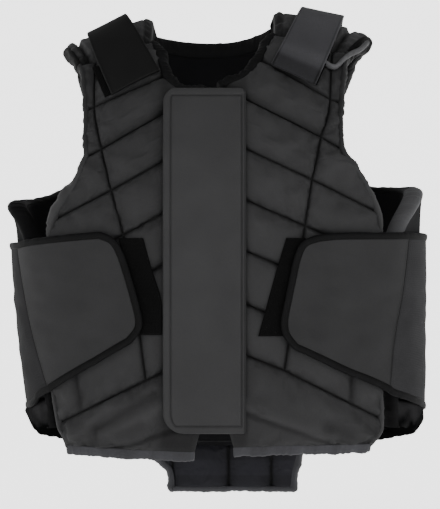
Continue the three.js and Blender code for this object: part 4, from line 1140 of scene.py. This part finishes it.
SEAM_GAP_TURN = 0.02
FLAP_DARKER = 0.28
STRETCH_DARKER = {-1: 0.03, 1: -0.4}


def edge_line(places):
    return smooth_line(np.array(places) * [1, -FRONT_LENGTH])


def cloth_between(top, bottom, start, end):
    """A cloth cut between four edges: its turn and height at u along the top and v down the start."""
    along_top, along_bottom, down_start, down_end = map(edge_line, (top, bottom, start, end))
    nought, one = np.zeros(()), np.ones(())

    def plan(u, v):
        u, v = u[..., None], v[..., None]
        rails = lerp(along_top(u[..., 0]), along_bottom(u[..., 0]), v)
        ends = lerp(down_start(v[..., 0]), down_end(v[..., 0]), u)
        near = lerp(along_top(nought), along_bottom(nought), v)
        far = lerp(along_top(one), along_bottom(one), v)
        return np.moveaxis(rails + ends - lerp(near, far, u), -1, 0)

    return plan


def flap_part(name, plan, side, shift, seam_u, finish, darker):
    """One part of a waist flap on its plan, shifted from the seam, which lies at seam_u, with a painted
    shadow along that seam.
    """
    def place(u, v, face):
        turn, z = plan(u, v)
        turn = side * (turn + shift)
        inside = np.clip(np.minimum(from_edge(u), from_edge(v)) / FLAP_FLAT_RIM, 0, 1)
        drawn_out = out_of_form(turn, z, FLAP_OUT) * [1, 1, 2]
        wave = uneven(drawn_out, size=0.03, height=FLAP_RIPPLE, seed=11.0) * inside
        return out_of_form(turn, z, FLAP_OUT + face * FLAP_THICKNESS + wave)

    lines = close_lines(1, 90, 0)
    part, u, v, face = padded_block(name + "_cloth", lines, lines, place, rim_cuts=1)
    # A painted shadow along the seam between the closing part and the stretch part.
    shade(part.data, np.exp(-np.abs(u - seam_u) / SEAM_SHADE_REACH) + darker)
    dress(part, finish)
    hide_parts(name)


stretch_cloth = cloth_finish("stretch cloth", (0.007, 0.007, 0.0073), (0.0109, 0.0109, 0.0114),
                             thread=0.0025, roughness=0.85, relief=0.0003, gloss=0.04)

for name, flap in WAIST_FLAPS.items():
    side = flap["side"]
    back = [flap["stretch_top"][-1], flap["stretch_bottom"][-1]]
    closing = cloth_between(flap["top"], flap["bottom"], flap["end"], flap["seam"])
    stretch = cloth_between(flap["stretch_top"], flap["stretch_bottom"], flap["seam"], back)
    flap_part("waist_flap_" + name, closing, side, -SEAM_GAP_TURN, 1, charcoal_cloth, FLAP_DARKER)
    flap_part("flap_stretch_" + name, stretch, side, SEAM_GAP_TURN, 0, stretch_cloth, STRETCH_DARKER[side])

TAPE_STEP = 0.0012
PUCKER_LENGTH = 0.0068
STITCH_LENGTH = 0.0036
STITCH_WIDTH = 0.0007
LINED_FROM = 0.72
FREE_FROM = 0.003


def edge_frames(turn, z, flare):
    """Along an edge: its points, the form's normals there and the direction beside it, to its right."""
    point, normal = chest_form(turn, z)
    edge = point + normal * np.asarray(flare)[..., None]
    ahead = np.vstack([edge[1:], edge[-1:]]) - np.vstack([edge[:1], edge[:-1]])
    ahead /= np.linalg.norm(ahead, axis=1, keepdims=True)
    beside = np.cross(ahead, normal)
    beside /= np.linalg.norm(beside, axis=1, keepdims=True)
    return edge, normal, beside


def evenly(turn, z, flare, step):
    """The same edge with its points about a step apart."""
    edge = out_of_form(turn, z, flare)
    run = np.concatenate([[0], np.cumsum(np.linalg.norm(np.diff(edge, axis=0), axis=1))])
    places = np.linspace(0, run[-1], int(run[-1] / step) + 2)
    return np.interp(places, run, turn), np.interp(places, run, z), np.interp(places, run, flare), places


def tape(name, turn, z, way, profile, flare=0.0, pucker=0.0005, stitch_at=None, wider=None, darker=None):
    """A tape along an edge, its section a closed outline of distances beside the edge and out of the form."""
    turn, z, flare, run = evenly(turn, z, np.broadcast_to(flare, np.shape(turn)), TAPE_STEP)
    edge, normal, beside = edge_frames(turn, z, flare)
    outline = np.array(profile + profile[:1])
    ring = bmesh.new()
    bmesh.ops.create_grid(ring, x_segments=len(edge) - 1, y_segments=len(outline) - 1, size=0.5)
    mesh = bpy.data.meshes.new(name)
    ring.to_mesh(mesh)
    ring.free()
    i, j = grid_lines(mesh_points(mesh), len(edge), len(outline))
    across, out = outline[j, 0], outline[j, 1]
    gathers = np.sin(2 * np.pi * (run / PUCKER_LENGTH + uneven(edge, size=0.014, height=2.2, seed=5.0)))
    crumple = uneven(edge, size=0.011, height=2.4, seed=1.0) + uneven(edge, size=0.004, height=1.2, seed=2.0)
    gathers = (pucker * (0.4 * gathers + crumple))[i]
    bound = np.clip(across / FREE_FROM, 0, 1)
    reach = across + 1.2 * gathers * bound
    if wider is not None:
        reach = reach + wider(z)[i] * bound
    points = edge[i] + beside[i] * (way * reach)[:, None] + normal[i] * (out + gathers * bound)[:, None]
    mesh.vertices.foreach_set("co", points.ravel())
    # The gathers are painted darker where they stand out and lighter where they sink, a painted shade and
    # highlight over the puckers.
    dark = 0.08 * gathers / pucker
    if darker is not None:
        dark = dark + darker(z)[i]
    if stitch_at is not None:
        dash = np.clip(1.6 * np.sin(2 * np.pi * run / STITCH_LENGTH) + 0.6, 0, 1)
        dark = dark + dash[i] * bell(across - stitch_at, STITCH_WIDTH) * (out > -0.01)
    shade(mesh, dark)
    lined = outline[:, 1].min() * LINED_FROM
    for polygon in mesh.polygons:
        polygon.material_index = int(max(out[vertex] for vertex in polygon.vertices) < lined)
    around = np.concatenate([[0], np.cumsum(np.linalg.norm(np.diff(outline, axis=0), axis=1))])
    lay_cloth_map(mesh, np.stack([around[j], run[i]], -1))
    outside(mesh, sealed=False)
    return new_piece(name, mesh)


binding_tape = cloth_finish("binding tape", (0.0009, 0.0009, 0.0009), (0.0019, 0.0019, 0.0021), gloss=0.06)
FLAP_BINDING = [
    (-0.0006, 0.008), (0.0004, 0.0086), (0.003, 0.009), (0.0056, 0.0086), (0.0066, 0.0066),
    (0.0058, 0.0043), (0.003, 0.0035), (0, 0.0033), (-0.0006, 0.0038),
]

for name, flap in WAIST_FLAPS.items():
    pieces_of_edge = [
        edge_line(flap["stretch_top"])(1 - np.arange(60) / 60),
        edge_line(flap["top"])(1 - np.arange(50) / 50),
        edge_line(flap["end"])(np.arange(60) / 60),
        edge_line(flap["bottom"])(np.arange(50) / 50),
        edge_line(flap["stretch_bottom"])(np.arange(61) / 60),
    ]
    round_flap = np.vstack(pieces_of_edge)
    turn = flap["side"] * round_flap[:, 0]
    z = round_flap[:, 1]
    binding = tape("flap_tape_" + name, turn, z, flap["side"], FLAP_BINDING,
                   pucker=0.00015, stitch_at=0.0005)
    dress(binding, binding_tape)
    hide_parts("flap_binding_" + name)

# The bindings that close the panels' edges, folded over the foam and stitched: black tape at the neck, on the
# wings' front edges and round the pads' ends, the panels' own cloth at the armholes, and grey tape at the
# hems, wider at the front and black below the wings.
NECK_END = 2.9
ARMHOLE_CURL = {-1: 0.0075, 1: 0.002}
ARMHOLE_CURL_HEIGHT = -0.178
ARMHOLE_CURL_LENGTH = 0.03
ARMHOLE_DARK_ABOVE = -0.13
EDGE_BINDING = [
    (-0.004, 0.0002), (-0.002, 0.0006), (0, 0), (0.0016, -0.0016), (0.003, -0.005), (0.0034, -0.01),
    (0.003, -0.0148), (0.0016, -0.0182), (0, -0.0198), (-0.002, -0.0204), (-0.004, -0.02),
]
NECK_BINDING = [
    (-0.003, 0), (-0.001, 0.0006), (0.002, 0.0004), (0.0058, -0.001), (0.0082, -0.0042), (0.009, -0.0095),
    (0.0084, -0.0148), (0.006, -0.0182), (0, -0.0198), (-0.002, -0.0204), (-0.004, -0.02),
]
HEM_BINDING = [
    (-0.002, -0.0006), (-0.001, -0.0003), (0.003, -0.0008), (0.007, -0.0016), (0.0084, -0.004),
    (0.0086, -0.010), (0.008, -0.0155), (0.006, -0.0178), (0, -0.0198), (-0.002, -0.0203), (-0.004, -0.02),
]
grey_tape = cloth_finish("grey tape", (0.0138, 0.0138, 0.015), (0.021, 0.021, 0.0235), sheen=0.02)

for name, side, rows in (("right", -1, RIGHT_FRONT_ROWS), ("left", 1, LEFT_FRONT_ROWS)):
    plan = front_plan(rows, side)
    last = len(rows) - 1

    def panel_edge(u, v):
        u, v = np.broadcast_arrays(np.asarray(u, float), np.asarray(v, float))
        x, z = plan(u, v)
        return turn_at(x, z), z

    def dark_above(z):
        return 0.6 * np.clip((z - ARMHOLE_DARK_ABOVE) / 0.02, 0, 1)

    def curl(z):
        return ARMHOLE_CURL[side] * bell(z - ARMHOLE_CURL_HEIGHT, ARMHOLE_CURL_LENGTH)

    turn, z = panel_edge(0, np.linspace(0, NECK_END, 80))
    neck = tape("neck_tape_" + name, turn, z, side, NECK_BINDING, pucker=0.0006)
    dress(neck, binding_tape)
    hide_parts("neck_binding_" + name)
    turn, z = panel_edge(2, np.linspace(0, last, 200))
    armhole = tape("armhole_edge_" + name, turn, z, -side, EDGE_BINDING,
                   pucker=0.0006, wider=curl, darker=dark_above)
    dress(armhole, charcoal_cloth)
    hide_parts("armhole_binding_" + name)
    turn, z = panel_edge(np.linspace(0, 2, 120), last)
    hem = tape("hem_tape_" + name, turn, z, side, HEM_BINDING)
    dress(hem, grey_tape)
    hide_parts("hem_band_" + name)

# The left wing's binding is turned over beside the armhole and shows its outer cloth there. That cloth is
# painted lighter than the charcoal cloth, a painted highlight on the curl.
WING_CURL_TOP = -0.125
WING_CURL_BOTTOM = -0.215
WING_CURL_FRONT = -0.004
HEM_BLACK_ABOVE = -0.4293
# The charcoal cloth about two and a half times lighter: painted light on cloth that curls out towards the
# lamps.
lit_curled_cloth = cloth_finish("lit curled cloth", (0.026, 0.026, 0.027), (0.04, 0.04, 0.042),
                            roughness=0.78, sheen=0.02)

for name, side in (("right", -1), ("left", 1)):
    turn, z, flare = back_plan(np.full(200, 2.0 * side), np.linspace(0, BACK_LAST, 200))
    edge = tape("back_edge_tape_" + name, turn, z, side, EDGE_BINDING, flare=flare, pucker=0.0003)
    dress(edge, binding_tape)
    if side > 0:
        edge.data.materials.append(lit_curled_cloth)
        for polygon in edge.data.polygons:
            beside_armhole = WING_CURL_BOTTOM < polygon.center.z < WING_CURL_TOP
            polygon.material_index = int(beside_armhole and polygon.center.y < WING_CURL_FRONT)
    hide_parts("back_edge_binding_" + name)

turn, z, flare = back_plan(np.linspace(-1, 1, 120), np.zeros(120))
back_neck = tape("neck_tape_back", turn, z, 1, EDGE_BINDING)
dress(back_neck, binding_tape)
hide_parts("neck_binding_back")


def black_at_the_wings(z):
    return 1.3 * np.clip((z - HEM_BLACK_ABOVE) / 0.006, 0, 1)


turn, z, flare = back_plan(np.linspace(-2, 2, 300), np.full(300, float(BACK_LAST)))
back_hem = tape("hem_tape_back", turn, z, -1, EDGE_BINDING, darker=black_at_the_wings)
dress(back_hem, grey_tape)
back_hem.data.materials.append(dark_lining)
back_hem.data.materials.append(wing_cloth)
for polygon in back_hem.data.polygons:
    if polygon.center.z > HEM_BLACK_ABOVE:
        polygon.material_index = 2
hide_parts("hem_band_back")

for name, shoulder in SHOULDERS.items():
    along = np.linspace(-0.98, 0.98, 80)
    x = shoulder["side"] * pad_reach(shoulder, along)
    z = ridge_at(x) - np.where(along > 0, pad_back_drop(x), PAD_FRONT_DROP) * along ** 2
    edge = tape("pad_tape_" + name, turn_at(x, z, along > 0), z, shoulder["side"], EDGE_BINDING)
    dress(edge, binding_tape)
    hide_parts("shoulder_pad_binding_" + name)

# A fold of the left pad's cloth curls out from under the strap and up to the pad's tip. It uses the same
# lighter cloth, a painted highlight on the curl.
PAD_FOLD = [
    (0.1175, -0.0195), (0.1235, -0.0235), (0.1295, -0.0235), (0.1365, -0.017),
    (0.1448, -0.0095), (0.1555, -0.004), (0.164, 0.004),
]
PAD_FOLD_SECTION = [
    (-0.0024, -0.001), (-0.0026, 0.002), (-0.0014, 0.0042), (0.0004, 0.0048),
    (0.002, 0.0038), (0.0026, 0.0016), (0.0022, -0.001),
]
x, z = np.moveaxis(smooth_line(PAD_FOLD)(np.linspace(0, 1, 60)), -1, 0)
pad_fold = tape("pad_fold_left", turn_at(x, z), z, 1, PAD_FOLD_SECTION, pucker=0.0003)
dress(pad_fold, lit_curled_cloth)

# The tail flap, hung below the back hem to guard the base of the spine: upright foam blocks between sewn
# channels, narrowing towards its lower edge, which is bound in the grey tape.
TAIL_LENGTH = 0.047
TAIL_THICKNESS = 0.018
TAIL_RIGHT_REACH = 0.076
TAIL_LEFT_REACH = 0.101
TAIL_ROWS = [(0, 1, 1), (0.2, 0.96, 0.98), (0.45, 0.76, 0.95), (0.6, 0.67, 0.93), (1, 0.64, 0.905)]
TAIL_CHANNELS = np.array([-0.0475, 0.017, 0.066])
TAIL_CHANNEL_DEPTH = 0.006
TAIL_TUCK = 0.004
EDGE_BINDING_WIDTH = 0.003
tail_shape = smooth_line(TAIL_ROWS)
tail_lining = cloth_finish("tail lining", (0.0043, 0.0043, 0.0054), (0.0078, 0.0078, 0.0098), roughness=0.7)


def tail_plan(u, v):
    down, right, left = np.moveaxis(tail_shape(v), -1, 0)
    x = lerp(-right * TAIL_RIGHT_REACH, left * TAIL_LEFT_REACH, u)
    hem = -FRONT_LENGTH * RIGHT_BACK_ROWS[-1][0] - 2 * FIT - EDGE_BINDING_WIDTH
    z = hem - down * TAIL_LENGTH + TAIL_TUCK * (1 - v)
    return turn_at(x, z, True), z


def tail_surface(u, v):
    turn, z = tail_plan(u, v)
    return out_of_form(turn, z, 0)


def tail_distances(u, v):
    step_u, step_v = cloth_steps(tail_surface, u, v)
    x = tail_surface(u, v)[..., 0]
    channel = np.abs(x[..., None] - TAIL_CHANNELS).min(axis=-1)
    return channel, np.minimum(from_edge(u) * step_u, from_edge(v) * step_v)


def tail_place(u, v, face):
    turn, z = tail_plan(u, v)
    channel, rim = tail_distances(u, v)
    outer = foam_surface(channel, rim, TAIL_CHANNEL_DEPTH / 2)
    inner = -TAIL_THICKNESS - foam_surface(channel, rim, TAIL_CHANNEL_DEPTH / 2)
    return out_of_form(turn, z, lerp(inner, outer, face))


tail, u, v, face = padded_block("tail_cloth", close_lines(1, 160, 0), close_lines(1, 60, 0.4), tail_place)
channel, rim = tail_distances(u, v)
held = (channel < SEAM_HELD) | (rim < RIM_HELD) | ((face > 0.1) & (face < 0.9))
puff(tail, held, pressure=4, spare_cloth=0.008, cap=PUFF_CAP)
# The seams get the painted seam shade. A band across the middle of the tail's length is painted lighter, a
# painted highlight on its blocks.
shade(tail.data, 1.4 * seam_shade(channel) - 0.3 * (v > 0.4) * (v < 0.8))
dress(tail, charcoal_cloth, tail_lining, face)
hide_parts("tail_flap")

down_right = np.linspace(0, 1, 30)
along_bottom = np.linspace(0, 1, 80)[1:-1]
up_left = np.linspace(1, 0, 30)
round_tail = [
    tail_plan(np.zeros(30), down_right),
    tail_plan(along_bottom, np.ones(78)),
    tail_plan(np.ones(30), up_left),
]
turn = np.concatenate([part[0] for part in round_tail]) % 360
z = np.concatenate([part[1] for part in round_tail])
TAIL_BINDING = [(across, out + (0.002 if out < -0.01 else 0)) for across, out in EDGE_BINDING]
edge = tape("tail_tape", turn, z, -1, TAIL_BINDING)
dress(edge, grey_tape)
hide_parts("tail_binding")
